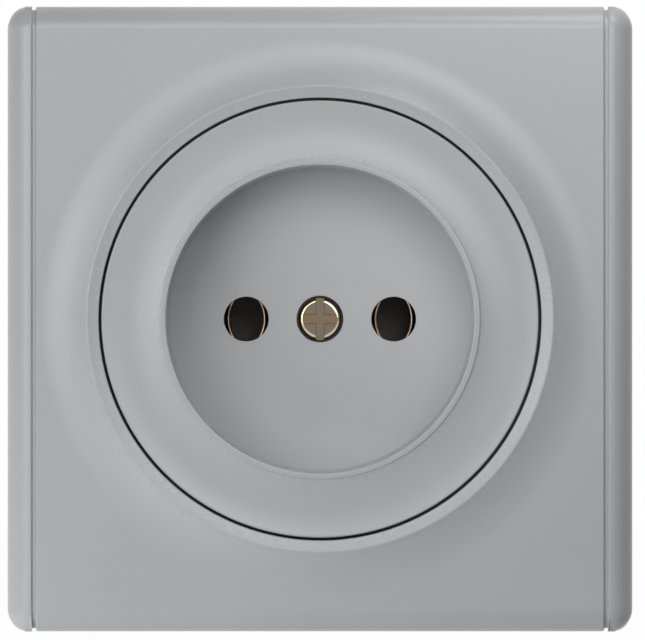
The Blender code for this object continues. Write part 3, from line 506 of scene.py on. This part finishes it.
# %% Turn the screw
HEAD_FRONT = 4.9 * MM
HEAD_BACK = 6.5 * MM
HEAD_RADIUS = 2.7 * MM
HEAD_FACE = 2.1 * MM
HEAD_ROUND = 0.45 * MM
SHANK_RADIUS = 1.6 * MM
SHANK_END = 16.2 * MM
SCREW_STEPS = 96

screw = bmesh.new()
chain(
    screw,
    [
        (0, -HEAD_FRONT),
        (HEAD_FACE, -HEAD_FRONT),
        (HEAD_RADIUS, -HEAD_FRONT),
        (HEAD_RADIUS, -HEAD_BACK),
        (SHANK_RADIUS, -HEAD_BACK),
        (SHANK_RADIUS, -SHANK_END),
        (0, -SHANK_END),
    ],
)
spin_section(screw, SCREW_STEPS)
bmesh.ops.remove_doubles(screw, verts=screw.verts, dist=0.001 * MM)
bmesh.ops.recalc_face_normals(screw, faces=screw.faces)
round_off(screw, ring_edges(screw, HEAD_RADIUS, -HEAD_FRONT), HEAD_ROUND, segments=8)
screw_mesh = bpy.data.meshes.new("screw_blank")
screw.to_mesh(screw_mesh)
screw.free()
print("screw blank faces:", len(screw_mesh.polygons))

# %% [markdown]
# ## The screw's slot and cross
# A straight slot runs right across the head, and a shallower groove crosses
# it. Screwdrivers have flared their edges a little. Insets and extrusions
# could make them on a square head, but here they run through a round rim. So
# Boolean modifiers cut them: a block for each groove, and then a flared block
# for its worn edges. The result is written back into a bmesh.

# %% Helper that cuts tools from a mesh


def cut_mesh(mesh, tools):
    """The mesh as a bmesh, with each tool bmesh taken away from it."""
    body = bpy.data.objects.new("blank", mesh)
    bpy.context.scene.collection.objects.link(body)
    for tool in tools:
        bmesh.ops.recalc_face_normals(tool, faces=tool.faces)
        tool_mesh = bpy.data.meshes.new("tool")
        tool.to_mesh(tool_mesh)
        cutter = bpy.data.objects.new("tool", tool_mesh)
        bpy.context.scene.collection.objects.link(cutter)
        modifier = body.modifiers.new("cut", "BOOLEAN")
        modifier.operation = "DIFFERENCE"
        modifier.solver = "EXACT"
        modifier.object = cutter
        graph = bpy.context.evaluated_depsgraph_get()
        body.data = bpy.data.meshes.new_from_object(body.evaluated_get(graph))
        body.modifiers.clear()
        bpy.data.objects.remove(cutter, do_unlink=True)
    result = bmesh.new()
    result.from_mesh(body.data)
    bpy.data.objects.remove(body, do_unlink=True)
    return result


# %% Cut the slot and the cross
TOOL_HEIGHT = 2 * MM
WEAR = 0.45 * MM
WEAR_DEPTH = 0.08 * MM


def groove_tools(half_width, half_length, depth, turned):
    """A block for a groove in the head, and a flared one for its worn edges."""
    tools = []
    for bottom, height, flare in ((depth, TOOL_HEIGHT, 0), (WEAR_DEPTH, WEAR, WEAR)):
        tool = bmesh.new()
        low = (-half_width, HEAD_FRONT + bottom - height, -half_length)
        block(tool, low, (half_width, HEAD_FRONT + bottom, half_length))
        for vert in tool.verts:
            if vert.co.y < HEAD_FRONT:
                vert.co.x += math.copysign(flare, vert.co.x)
        bmesh.ops.rotate(tool, matrix=Matrix.Rotation(turned, 3, "Y"), verts=tool.verts)
        tools.append(tool)
    return tools


tools = groove_tools(half_width=0.5 * MM, half_length=4 * MM, depth=0.9 * MM, turned=0)
tools += groove_tools(
    half_width=0.55 * MM, half_length=2.1 * MM, depth=0.35 * MM, turned=math.pi / 2
)
screw = cut_mesh(screw_mesh, tools)
bmesh.ops.remove_doubles(screw, verts=screw.verts, dist=0.003 * MM)
finish_piece("cover_screw_fine", screw)

# %% [markdown]
# ## The contacts in the pin holes
# Behind each pin hole, two springy copper leaves stand on either side of the
# pin, and their front edges are what glints in the hole. Two bent curves with
# a bevel could show those lines, but a sheet needs real faces that go back
# into the dark. So the leaves are one bent strip: an arc made by spinning a
# single point, its mirror image, and a floor that joins them. The strip is
# pulled back along the pin's way, and solidify gives it the sheet's
# thickness. Its rims are rounded, so that only a thin line on them glints.

# %% Bend the contact leaves
LEAF_FRONT = 9.2 * MM
LEAF_BACK = 24.6 * MM
LEAF_RADIUS = 4.56 * MM
LEAF_CENTRE = 2.35 * MM
LEAF_GAUGE = 0.3 * MM
LEAF_ROUND = 0.1 * MM
LEAF_TOP = math.radians(44)
LEAF_SWEEP = math.radians(84)
LEAF_STEPS = 28


def sharp_edges(bm, degrees):
    """The edges at which two faces meet at more than an angle."""
    limit = math.radians(degrees)
    return [e for e in bm.edges if e.is_manifold and e.calc_face_angle() > limit]


def contact_leaves():
    """Two curved leaves and their floor, about the y axis."""
    bm = bmesh.new()
    x = LEAF_RADIUS * math.cos(LEAF_TOP) - LEAF_CENTRE
    tip = bm.verts.new((x, LEAF_FRONT, LEAF_RADIUS * math.sin(LEAF_TOP)))
    middle = (-LEAF_CENTRE, 0, 0)
    bmesh.ops.spin(
        bm, geom=[tip], cent=middle, axis=(0, 1, 0), angle=LEAF_SWEEP, steps=LEAF_STEPS
    )
    arc = bm.verts[:] + bm.edges[:]
    bmesh.ops.mirror(bm, geom=arc, matrix=Matrix(), merge_dist=0, axis="X")
    bm.edges.new(sorted(bm.verts, key=lambda vert: vert.co.z)[:2])
    pulled = bmesh.ops.extrude_edge_only(bm, edges=bm.edges[:])["geom"]
    moved = [item for item in pulled if isinstance(item, bmesh.types.BMVert)]
    bmesh.ops.translate(bm, verts=moved, vec=(0, LEAF_BACK - LEAF_FRONT, 0))
    bmesh.ops.recalc_face_normals(bm, faces=bm.faces)
    lowest = min(bm.faces, key=lambda face: face.calc_center_median().z)
    if lowest.normal.z < 0:
        bmesh.ops.reverse_faces(bm, faces=bm.faces)
    bmesh.ops.solidify(bm, geom=bm.faces[:], thickness=LEAF_GAUGE)
    round_off(bm, sharp_edges(bm, 80), LEAF_ROUND, segments=3)
    return bm


# %% Add the tongue that leads to the terminal
TONGUE_HALF = 1.25 * MM
TONGUE_TOP = 3.1 * MM
TONGUE_BACK = 9.8 * MM
TONGUE_ROUND = 0.12 * MM
FOOT_TOP = 9.79 * MM
FOOT_BOTTOM = 10.39 * MM
FOOT_FRONT = 9.5 * MM
FOOT_BACK = 20.6 * MM


def contact(side):
    """One contact: its leaves, and a tongue down to the terminal and back."""
    bm = contact_leaves()
    leaves = set(bm.verts)
    low, high = (-TONGUE_HALF, LEAF_FRONT, -FOOT_BOTTOM), (TONGUE_HALF, TONGUE_BACK, -TONGUE_TOP)
    block(bm, low, high)
    low, high = (-TONGUE_HALF, FOOT_FRONT, -FOOT_BOTTOM), (TONGUE_HALF, FOOT_BACK, -FOOT_TOP)
    block(bm, low, high)
    tongue = [e for e in bm.edges if leaves.isdisjoint(e.verts)]
    round_off(bm, tongue, TONGUE_ROUND, segments=2)
    bmesh.ops.translate(bm, verts=bm.verts, vec=(side * PIN_X, 0, 0))
    return bm


finish_piece("contact_left_fine", contact(-1))
finish_piece("contact_right_fine", contact(1))

# %% [markdown]
# ## Soft edges on the mechanism
# The CAD solids behind the front have the right shapes, but a CAD edge has no
# width, so it never catches light as a pressed or moulded edge does. A Bevel
# modifier on the node itself would meet a mesh of loose triangles. So each
# solid is copied, its triangles are merged and joined into flat faces, and
# its sharp edges get a narrow bevel. Moulded pieces take a wider one than
# sheet steel.

# %% Widths of the soft edges, in mm
EDGE_WIDTHS = {
    "frame_carrier": 0.12,
    "support_bracket": 0.14,
    "contact_base": 0.22,
    "rear_plate": 0.25,
    "contact_spring": 0.08,
    "terminal_block": 0.15,
    "terminal_screw": 0.1,
    "base_rivet": 0.12,
    "rear_screw": 0.1,
    "screw_insert": 0.1,
    "claw_screw": 0.1,
    "claw": 0.1,
}
slot_of = {part["node"]: part["material_slot"] for part in frame["record"]["subparts"]}
body_of = {
    node: body for body, nodes in frame["record"]["behaviour"]["bodies"].items() for node in nodes
}
print("nodes with a body:", len(body_of))

# %% Soften the edges of the hidden pieces
FLAT_ANGLE = math.radians(0.5)
SHARP_DEGREES = 40
WORTH_TELLING = 0.01 * MM


def span_of(obj):
    """Lowest and highest corners of an object's mesh."""
    corners = [vert.co for vert in obj.data.vertices]
    low = [min(corner[axis] for corner in corners) for axis in range(3)]
    return low + [max(corner[axis] for corner in corners) for axis in range(3)]


def soften(node, width):
    """A finished copy of a CAD node with its sharp edges bevelled."""
    bm = bmesh.new()
    bm.from_mesh(frame["nodes"][node].data)
    bmesh.ops.remove_doubles(bm, verts=bm.verts, dist=0.001 * MM)
    bmesh.ops.dissolve_limit(bm, angle_limit=FLAT_ANGLE, verts=bm.verts[:], edges=bm.edges[:])
    bmesh.ops.connect_verts_concave(bm, faces=bm.faces[:])
    round_off(bm, sharp_edges(bm, SHARP_DEGREES), width * MM, segments=2)
    piece = finish_piece(f"{node}_fine", bm, body_of[node])
    grown = max(abs(a - b) for a, b in zip(span_of(piece), span_of(frame["nodes"][node])))
    if grown > WORTH_TELLING:
        print("  grew by mm:", round(grown / MM, 3))


for node in sorted(set(slot_of) - {name.removesuffix("_fine") for name in pieces}):
    kind = next(key for key in EDGE_WIDTHS if node.startswith(key))
    soften(node, EDGE_WIDTHS[kind])

# %% [markdown]
# ## Shader sums written as Python
# A finish needs a little arithmetic: a mask here, two patterns added there.
# In the node editor that is a crowd of Math nodes. Here a small class wraps a
# socket, so that a plain Python sum adds those nodes by itself, and the sum
# can be read at a glance. Every other node comes from one method, which sets
# the node's settings first and then its inputs, each with a value or a link.

# %% A wire that does sums


class Wire:
    """An output socket that Python can add, subtract and multiply."""

    def __init__(self, board, socket):
        self.board = board
        self.socket = socket

    def sum(self, operation, first, second):
        return self.board.node("ShaderNodeMath", {"operation": operation}, {0: first, 1: second})

    def __add__(self, other):
        return self.sum("ADD", self, other)

    def __radd__(self, other):
        return self.sum("ADD", other, self)

    def __sub__(self, other):
        return self.sum("SUBTRACT", self, other)

    def __rsub__(self, other):
        return self.sum("SUBTRACT", other, self)

    def __mul__(self, other):
        return self.sum("MULTIPLY", self, other)

    def __rmul__(self, other):
        return self.sum("MULTIPLY", other, self)


# %% A board that makes the nodes


class Board:
    """A node tree that hands out wires."""

    def __init__(self, tree):
        self.tree = tree

    def feed(self, socket, value):
        if isinstance(value, Wire):
            self.tree.links.new(value.socket, socket)
        else:
            socket.default_value = value

    def node(self, kind, settings=None, inputs=None, output=0):
        node = self.tree.nodes.new(kind)
        for key, value in (settings or {}).items():
            setattr(node, key, value)
        for key, value in (inputs or {}).items():
            self.feed(node.inputs[key], value)
        return Wire(self, node.outputs[output])


# %% [markdown]
# ## A finish and its usual patterns
# A finish is a material with one Principled shader. What is the same all over
# is set on the shader itself. The colour and the roughness that a finish
# starts with stay only where no pattern replaces them. What varies comes from
# noise, because noise needs no unwrapping and no image. It is laid on the
# object's own coordinates, which are metres here, so a scale of 1000 makes a
# pattern of about a millimetre, and it stays on a piece that moves.

# %% The finish class


class Finish(Board):
    """A material with helpers for noise, blends of colour and fine bumps."""

    def __init__(self, name, colour, roughness, metallic=0.0):
        self.material = bpy.data.materials.new(name)
        self.material.use_nodes = True
        super().__init__(self.material.node_tree)
        self.shader = self.tree.nodes["Principled BSDF"]
        self.set("Base Color", (*colour, 1))
        self.set("Roughness", roughness)
        self.set("Metallic", metallic)
        self.point = self.node("ShaderNodeTexCoord", output="Object")
        print("finish:", name)

    def set(self, name, value):
        self.feed(self.shader.inputs[name], value)

    def stretched(self, factors):
        """The coordinates, each multiplied by its own factor."""
        settings = {"operation": "MULTIPLY"}
        return self.node("ShaderNodeVectorMath", settings, {0: self.point, 1: factors})

    def noise(self, scale, detail=2.0, stretch=(1, 1, 1)):
        inputs = {"Vector": self.stretched(stretch), "Scale": scale, "Detail": detail}
        return self.node("ShaderNodeTexNoise", None, inputs, "Fac")

    def depth(self):
        """Distance behind the wall's surface, negative in front of it."""
        return self.node("ShaderNodeSeparateXYZ", None, {0: self.point}, 1)

    def radius(self):
        """Distance from the socket's middle axis."""
        flat = {0: self.stretched((1, 0, 1))}
        return self.node("ShaderNodeVectorMath", {"operation": "LENGTH"}, flat, "Value")

    def span(self, value, low, high, to_low=0.0, to_high=1.0):
        """Maps low..high to to_low..to_high, smoothly and without overshoot."""
        inputs = {"Value": value, "From Min": low, "From Max": high}
        inputs |= {"To Min": to_low, "To Max": to_high}
        settings = {"interpolation_type": "SMOOTHSTEP"}
        return self.node("ShaderNodeMapRange", settings, inputs)

    def blend(self, factor, first, second):
        """A colour between first and second."""
        colours = [c if isinstance(c, Wire) else (*c, 1) for c in (first, second)]
        inputs = {0: factor, 6: colours[0], 7: colours[1]}
        return self.node("ShaderNodeMix", {"data_type": "RGBA"}, inputs, 2)

    def bump(self, height, depth):
        """Makes height, from 0 to 1, a relief of that depth."""
        inputs = {"Height": height, "Distance": depth, "Strength": 1.0}
        self.set("Normal", self.node("ShaderNodeBump", None, inputs))


# %% [markdown]
# ## Satin grey plastic
# The frame and the cover are moulded in a through-coloured plastic with a
# silky surface. Up close such a surface has a very fine grain from the mould,
# slight clouds in the colour, and it is a little more polished where plugs
# and fingers rub: on the lip and on the ring's crest. One flat grey would
# look like card, so noise varies it a little. The rest depends on the place,
# so masks are made from the depth and from the distance to the middle axis.
# They paint light into the recess, whose grey is made a shade lighter than the face, and paint
# shade as near-black in the slit round the cover and in the screw's well.

# %% Mix the satin plastic
GREY_DARK = (0.403, 0.408, 0.418)
GREY_LIGHT = (0.421, 0.426, 0.436)
# Painted light: a lighter grey for the recess, as though more light reached its floor and walls.
GREY_PAINTED_LIGHT_RECESS = (0.472, 0.477, 0.487)
# Painted shade: near-black laid where shadow falls, in the slit round the cover and in the screw's
# well.
PAINTED_SHADE_BLACK = (0.009, 0.007, 0.005)
GRAIN_DEPTH = 0.0016 * MM
RECESS_RADIUS = 19.6 * MM
NEAR_SLIT, AT_SLIT = 0.15 * MM, 0.03 * MM


def satin_plastic():
    finish = Finish("satin_grey_plastic", (0.41, 0.415, 0.425), 0.42)
    clouds = finish.noise(45, 3)
    grain = finish.noise(2600, 2)
    tone = finish.span(clouds * 0.7 + grain * 0.3, 0.3, 0.7)
    grey_tone = finish.blend(tone, GREY_DARK, GREY_LIGHT)
    depth, radius = finish.depth(), finish.radius()
    # Painted light: the recess is blended to a lighter grey than the face.
    recess = finish.span(depth, -9 * MM, 3 * MM) * finish.span(radius, LIP_OUTER, RECESS_RADIUS)
    grey_tone = finish.blend(recess, grey_tone, GREY_PAINTED_LIGHT_RECESS)
    # Painted shade: the screw's well and the slit round the cover are blended to near-black, where
    # shadow falls.
    well = finish.span(depth, FLOOR_DEPTH + 0.1 * MM, FLOOR_DEPTH + 0.6 * MM)
    well = well * finish.span(radius, WELL + 0.4 * MM, WELL + 0.1 * MM)
    slit = finish.span(depth, -9.75 * MM, -9.4 * MM)
    slit = slit * finish.span(radius, COVER_RADIUS - NEAR_SLIT, COVER_RADIUS - AT_SLIT)
    slit = slit * finish.span(radius, BORE + NEAR_SLIT, BORE + AT_SLIT)
    finish.set("Base Color", finish.blend(well + slit, grey_tone, PAINTED_SHADE_BLACK))
    raised = finish.span(depth, -9.95 * MM, -LIP_HEIGHT)
    worn = raised * finish.span(finish.noise(300, 3), 0.35, 0.7, 0.4, 1.0)
    finish.set("Roughness", 0.245 + grain * 0.05 + clouds * 0.04 - worn * 0.05)
    finish.bump(grain * 0.5 + finish.noise(900, 2) * 0.5, GRAIN_DEPTH)
    return finish


plastic = satin_plastic()

# %% [markdown]
# ## Metals
# The mechanism is made of zinc-plated pressed steel, copper-alloy contacts
# with steel springs round them, and brass terminals. Plating shows faint
# drawn lines and a shift between bluish and yellowish, and copper and brass
# show tarnish. Each could be a finish of its own, but they differ only in
# their tones and in which way they were drawn, so one helper mixes them all:
# patches of stain, and noise that is stretched along one axis for the lines.

# %% Mix the plated and bare metals
LINE_DEPTH = 0.0012 * MM
ALONG_X, ALONG_Y, ALONG_Z = (12, 1, 1), (1, 12, 1), (1, 1, 12)


def metal(name, bright, dull, roughness, lines):
    """A metal between a bright and a dull tone, with fine drawn lines."""
    finish = Finish(name, bright, roughness, 1.0)
    patches = finish.noise(220, 4)
    drawn = finish.noise(2400, 2, lines)
    stain = finish.span(patches * 0.75 + drawn * 0.25, 0.42, 0.62)
    finish.set("Base Color", finish.blend(stain, bright, dull))
    finish.set("Roughness", roughness - 0.06 + stain * 0.08 + drawn * 0.1)
    finish.bump(drawn * 0.7 + finish.noise(1100, 3) * 0.3, LINE_DEPTH)
    return finish


zinc = metal("zinc_plated_steel", (0.61, 0.62, 0.64), (0.57, 0.57, 0.55), 0.36, ALONG_Y)
spring = metal("spring_steel", (0.36, 0.36, 0.38), (0.27, 0.24, 0.22), 0.36, ALONG_Z)
copper = metal("contact_copper", (0.46, 0.33, 0.25), (0.27, 0.17, 0.11), 0.34, ALONG_Y)
brass = metal("terminal_brass", (0.78, 0.6, 0.32), (0.6, 0.42, 0.2), 0.32, ALONG_X)

# %% [markdown]
# ## The dark moulding
# The base and its rear plate are pressed from a brown-black thermoset, whose
# filler shows as small lighter flecks. Noise alone gives clouds and no
# grains, so the flecks come from a Voronoi pattern: a spot round each cell's
# centre, and a noise mask that leaves most of the spots out.

# %% Mix the dark moulding
MOULDING_DARK = (0.009, 0.009, 0.0095)
MOULDING_LIGHT = (0.014, 0.0135, 0.0135)
FLECK = (0.034, 0.029, 0.024)
SKIN_DEPTH = 0.004 * MM


def moulding():
    finish = Finish("dark_moulding", (0.011, 0.011, 0.012), 0.38)
    cells = {"Vector": finish.point, "Scale": 1400.0}
    reach = finish.node("ShaderNodeTexVoronoi", {"feature": "F1"}, cells, "Distance")
    fleck = finish.span(reach, 0.22, 0.1) * finish.span(finish.noise(500, 2), 0.5, 0.62)
    tone = finish.blend(finish.noise(60, 3), MOULDING_DARK, MOULDING_LIGHT)
    finish.set("Base Color", finish.blend(fleck, tone, FLECK))
    finish.set("Roughness", 0.33 + finish.noise(150, 3) * 0.12 + fleck * 0.1)
    finish.bump(finish.noise(1500, 3), SKIN_DEPTH)
    return finish


dark = moulding()

# %% [markdown]
# ## The screw's warm plating
# The middle screw is steel with a warm nickel tone. Its face was turned on a
# lathe, which leaves fine rings, and a brownish film is left in the cross,
# where no tool rubs it off. The film could be painted on, but the cross lies
# at its own depth, so a mask from the depth finds it. A sine of the distance
# from the axis makes the rings.

# %% Mix the screw's finish
RING_PITCH = 0.09 * MM
RING_DEPTH = 0.0003 * MM


def screw_plating():
    finish = Finish("nickelled_steel", (0.6, 0.52, 0.42), 0.26, 1.0)
    depth = finish.depth()
    sunk = finish.span(depth, HEAD_FRONT + 0.02 * MM, HEAD_FRONT + 0.08 * MM)
    cross = sunk * finish.span(depth, HEAD_FRONT + 0.7 * MM, HEAD_FRONT + 0.5 * MM)
    patches = finish.noise(500, 4)
    face = finish.blend(patches, (0.62, 0.53, 0.41), (0.54, 0.45, 0.33))
    film = finish.blend(patches, (0.74, 0.51, 0.32), (0.62, 0.42, 0.26))
    finish.set("Base Color", finish.blend(cross, face, film))
    finish.set("Roughness", 0.05 + patches * 0.04)
    wave = finish.radius() * (math.tau / RING_PITCH) + patches * 3
    rings = finish.node("ShaderNodeMath", {"operation": "SINE"}, {0: wave})
    finish.bump(rings * 0.5 * (1 - sunk) + patches * 0.5, RING_DEPTH)
    return finish


nickel = screw_plating()

# %% [markdown]
# ## From slots to finishes
# The record gives every node a material slot, which is a name such as brass.
# The finishes could be given to the pieces one by one, but a table from slot
# to finish can't forget a piece. The CAD nodes get theirs too, although the
# fine pieces stand in for them here, so nothing is left without a finish.

# %% Give the nodes and the pieces their finishes
slot_finishes = {
    "grey_plastic": plastic,
    "dark_moulding": dark,
    "zinc_steel": zinc,
    "spring_steel": spring,
    "contact_copper": copper,
    "brass": brass,
    "nickelled_steel": nickel,
}
for node, slot in slot_of.items():
    for material_slot in frame["nodes"][node].material_slots:
        material_slot.material = slot_finishes[slot].material
    dressed = pieces[f"{node}_fine"].data.materials
    dressed.clear()
    dressed.append(slot_finishes[slot].material)
print("nodes finished:", len(slot_of))

# %% [markdown]
# ## Camera
# The photograph is taken straight from the front with a long lens. The pin
# holes lie 14 mm behind the face and look only half a percent smaller than
# they would on it, so the lens stands about 1.8 m away. An orthographic
# camera would come close, but it would draw what lies deep too large.

# %% Set the camera
DISTANCE = 1.8
VIEW_WIDTH = 82.69 * MM
REFERENCE_DEPTH = -4.5 * MM
AIM_X = 0.32 * MM
AIM_Z = -0.12 * MM

camera_data = bpy.data.cameras.new("camera")
camera_data.sensor_width = 36
camera_data.lens = camera_data.sensor_width * DISTANCE / VIEW_WIDTH
camera_data.clip_start = 0.1
camera_data.clip_end = 20
camera = bpy.data.objects.new("camera", camera_data)
camera.location = (AIM_X, REFERENCE_DEPTH - DISTANCE, AIM_Z)
camera.rotation_euler = (math.pi / 2, 0, 0)
bpy.context.scene.collection.objects.link(camera)
bpy.context.scene.camera = camera
print("lens, mm:", round(camera_data.lens))

# %% [markdown]
# ## Pale floor
# The socket stands on a pale floor that the camera sees as white. A strong
# lamp on the floor would whiten it too, but it would also light the object
# from below. So a Light Path switch mixes a glow into what the camera sees of
# the floor. A little of the floor's own shading is kept, so that the object
# still casts its shadow there. The floor takes no part in bounces, and light
# from lamps that hang below its level passes through it.

# %% Lay the floor
FLOOR_GAP = 0.05 * MM
FLOOR_REACH = 0.9
GLOW_SHARE = 0.97

floor_bm = bmesh.new()
place = Matrix.Translation((0, 0, -FRAME_HALF - FLOOR_GAP))
bmesh.ops.create_circle(floor_bm, cap_ends=True, radius=FLOOR_REACH, segments=96, matrix=place)
floor_mesh = bpy.data.meshes.new("floor")
floor_bm.to_mesh(floor_mesh)
floor_bm.free()
floor = bpy.data.objects.new("floor", floor_mesh)
bpy.context.scene.collection.objects.link(floor)
floor.visible_shadow = False
floor.visible_diffuse = False

paper = Finish("floor_paper", (0.85, 0.85, 0.85), 0.9)
seen = paper.node("ShaderNodeLightPath", output="Is Camera Ray")
seen = seen + paper.node("ShaderNodeLightPath", output="Is Glossy Ray")
seen = seen + paper.node("ShaderNodeLightPath", output="Is Transmission Ray")
white = paper.node("ShaderNodeEmission", None, {"Color": (1, 1, 1, 1), "Strength": 1.0})
shaded = Wire(paper, paper.shader.outputs[0])
mixed = paper.node("ShaderNodeMixShader", None, {0: seen * GLOW_SHARE, 1: shaded, 2: white})
paper.feed(paper.tree.nodes["Material Output"].inputs["Surface"], mixed)
floor_mesh.materials.append(paper.material)

# %% [markdown]
# ## White surroundings
# A studio is a white room, but a white world of even light would wash all
# the shading off the front. So the world differs by the kind of ray. The
# camera sees plain white. Mirror-like surfaces see white behind the socket
# and a dim room in front of it. Dull surfaces get light from behind only,
# which shows the mechanism in views from the back and leaves the front to
# the lamps.

# %% Light the surroundings
BACK_LIGHT = 0.65
FRONT_GLOSS = 0.3
TURN = 0.2

world = bpy.data.worlds.new("studio")
world.use_nodes = True
bpy.context.scene.world = world
world.node_tree.nodes.clear()
room = Board(world.node_tree)
camera_ray, through_ray, glossy_ray = (
    room.node("ShaderNodeLightPath", output=f"Is {kind} Ray")
    for kind in ("Camera", "Transmission", "Glossy")
)
heading = room.node("ShaderNodeTexCoord", output="Generated")
backwards = room.node("ShaderNodeSeparateXYZ", None, {0: heading}, 1)
rise = {"Value": backwards, "From Min": -TURN, "From Max": TURN}
behind = room.node("ShaderNodeMapRange", None, rise | {"To Min": FRONT_GLOSS, "To Max": 1.0})
seen = camera_ray + through_ray
from_behind = (behind - FRONT_GLOSS) * (BACK_LIGHT / (1 - FRONT_GLOSS))
strength = seen + glossy_ray * behind + (1 - seen - glossy_ray) * from_behind
sky = {"Color": (1, 1, 1, 1), "Strength": strength}
backdrop = room.node("ShaderNodeBackground", None, sky)
room.feed(room.tree.nodes.new("ShaderNodeOutputWorld").inputs["Surface"], backdrop)
bpy.context.scene.view_settings.view_transform = "Standard"
print("light from behind:", BACK_LIGHT)

# %% [markdown]
# ## Soft lamps
# In the photograph the lower left flank of the ring is bright, the lower
# right one is dark, and the upper left of the recess lies in shade: soft
# light from several sides, and most of it from the upper left. One large lamp
# would give flat shading, so square lamps hang round the view axis, each for
# a part of the tones: four near the axis for the face, one further out for
# the shade in the recess, one beside the lower left edge, and two small ones
# close by, whose light falls off across the face. Their strengths were found
# by comparing tones with the photograph.

# %% Hang the lamps
LAMP_DISTANCE = 0.45
LAMP_SIZE = 0.18
LAMPS = [  # name, turn, tilt, strength, and a distance and size where they differ
    ("left", 180, 24, 0.315),
    ("upper_left", 135, 24, 0.17),
    ("top", 90, 24, 0.225),
    ("upper_right", 45, 18.5, 0.38),
    ("far_upper_left", 157.5, 40, 0.194),
    ("low_left_edge", 225, 88, 0.606),
    ("low_left_near", 225, 52, 0.112, 0.2, 0.09),
    ("top_right_near", 67.5, 65, 0.0405, 0.13, 0.06),
]


def lamp(name, turn, tilt, strength, distance=LAMP_DISTANCE, size=LAMP_SIZE):
    """A square soft lamp that is turned round the view axis and tilted off it."""
    turn, tilt = math.radians(turn), math.radians(tilt)
    sideways = math.sin(tilt)
    away = Vector((sideways * math.cos(turn), -math.cos(tilt), sideways * math.sin(turn)))
    data = bpy.data.lights.new(name, "AREA")
    data.shape = "SQUARE"
    data.size = size
    data.energy = strength
    light = bpy.data.objects.new(name, data)
    light.location = away * distance
    light.rotation_euler = away.to_track_quat("Z", "Y").to_euler()
    bpy.context.scene.collection.objects.link(light)
    return light


lights = [lamp(*entry) for entry in LAMPS]
print("lamps:", len(lights), "watts:", round(sum(light.data.energy for light in lights), 3))

# %% [markdown]
# ## Count the pieces
# The script ends by printing how many fine pieces there are.

# %% Count the pieces
print("pieces:", len(pieces))
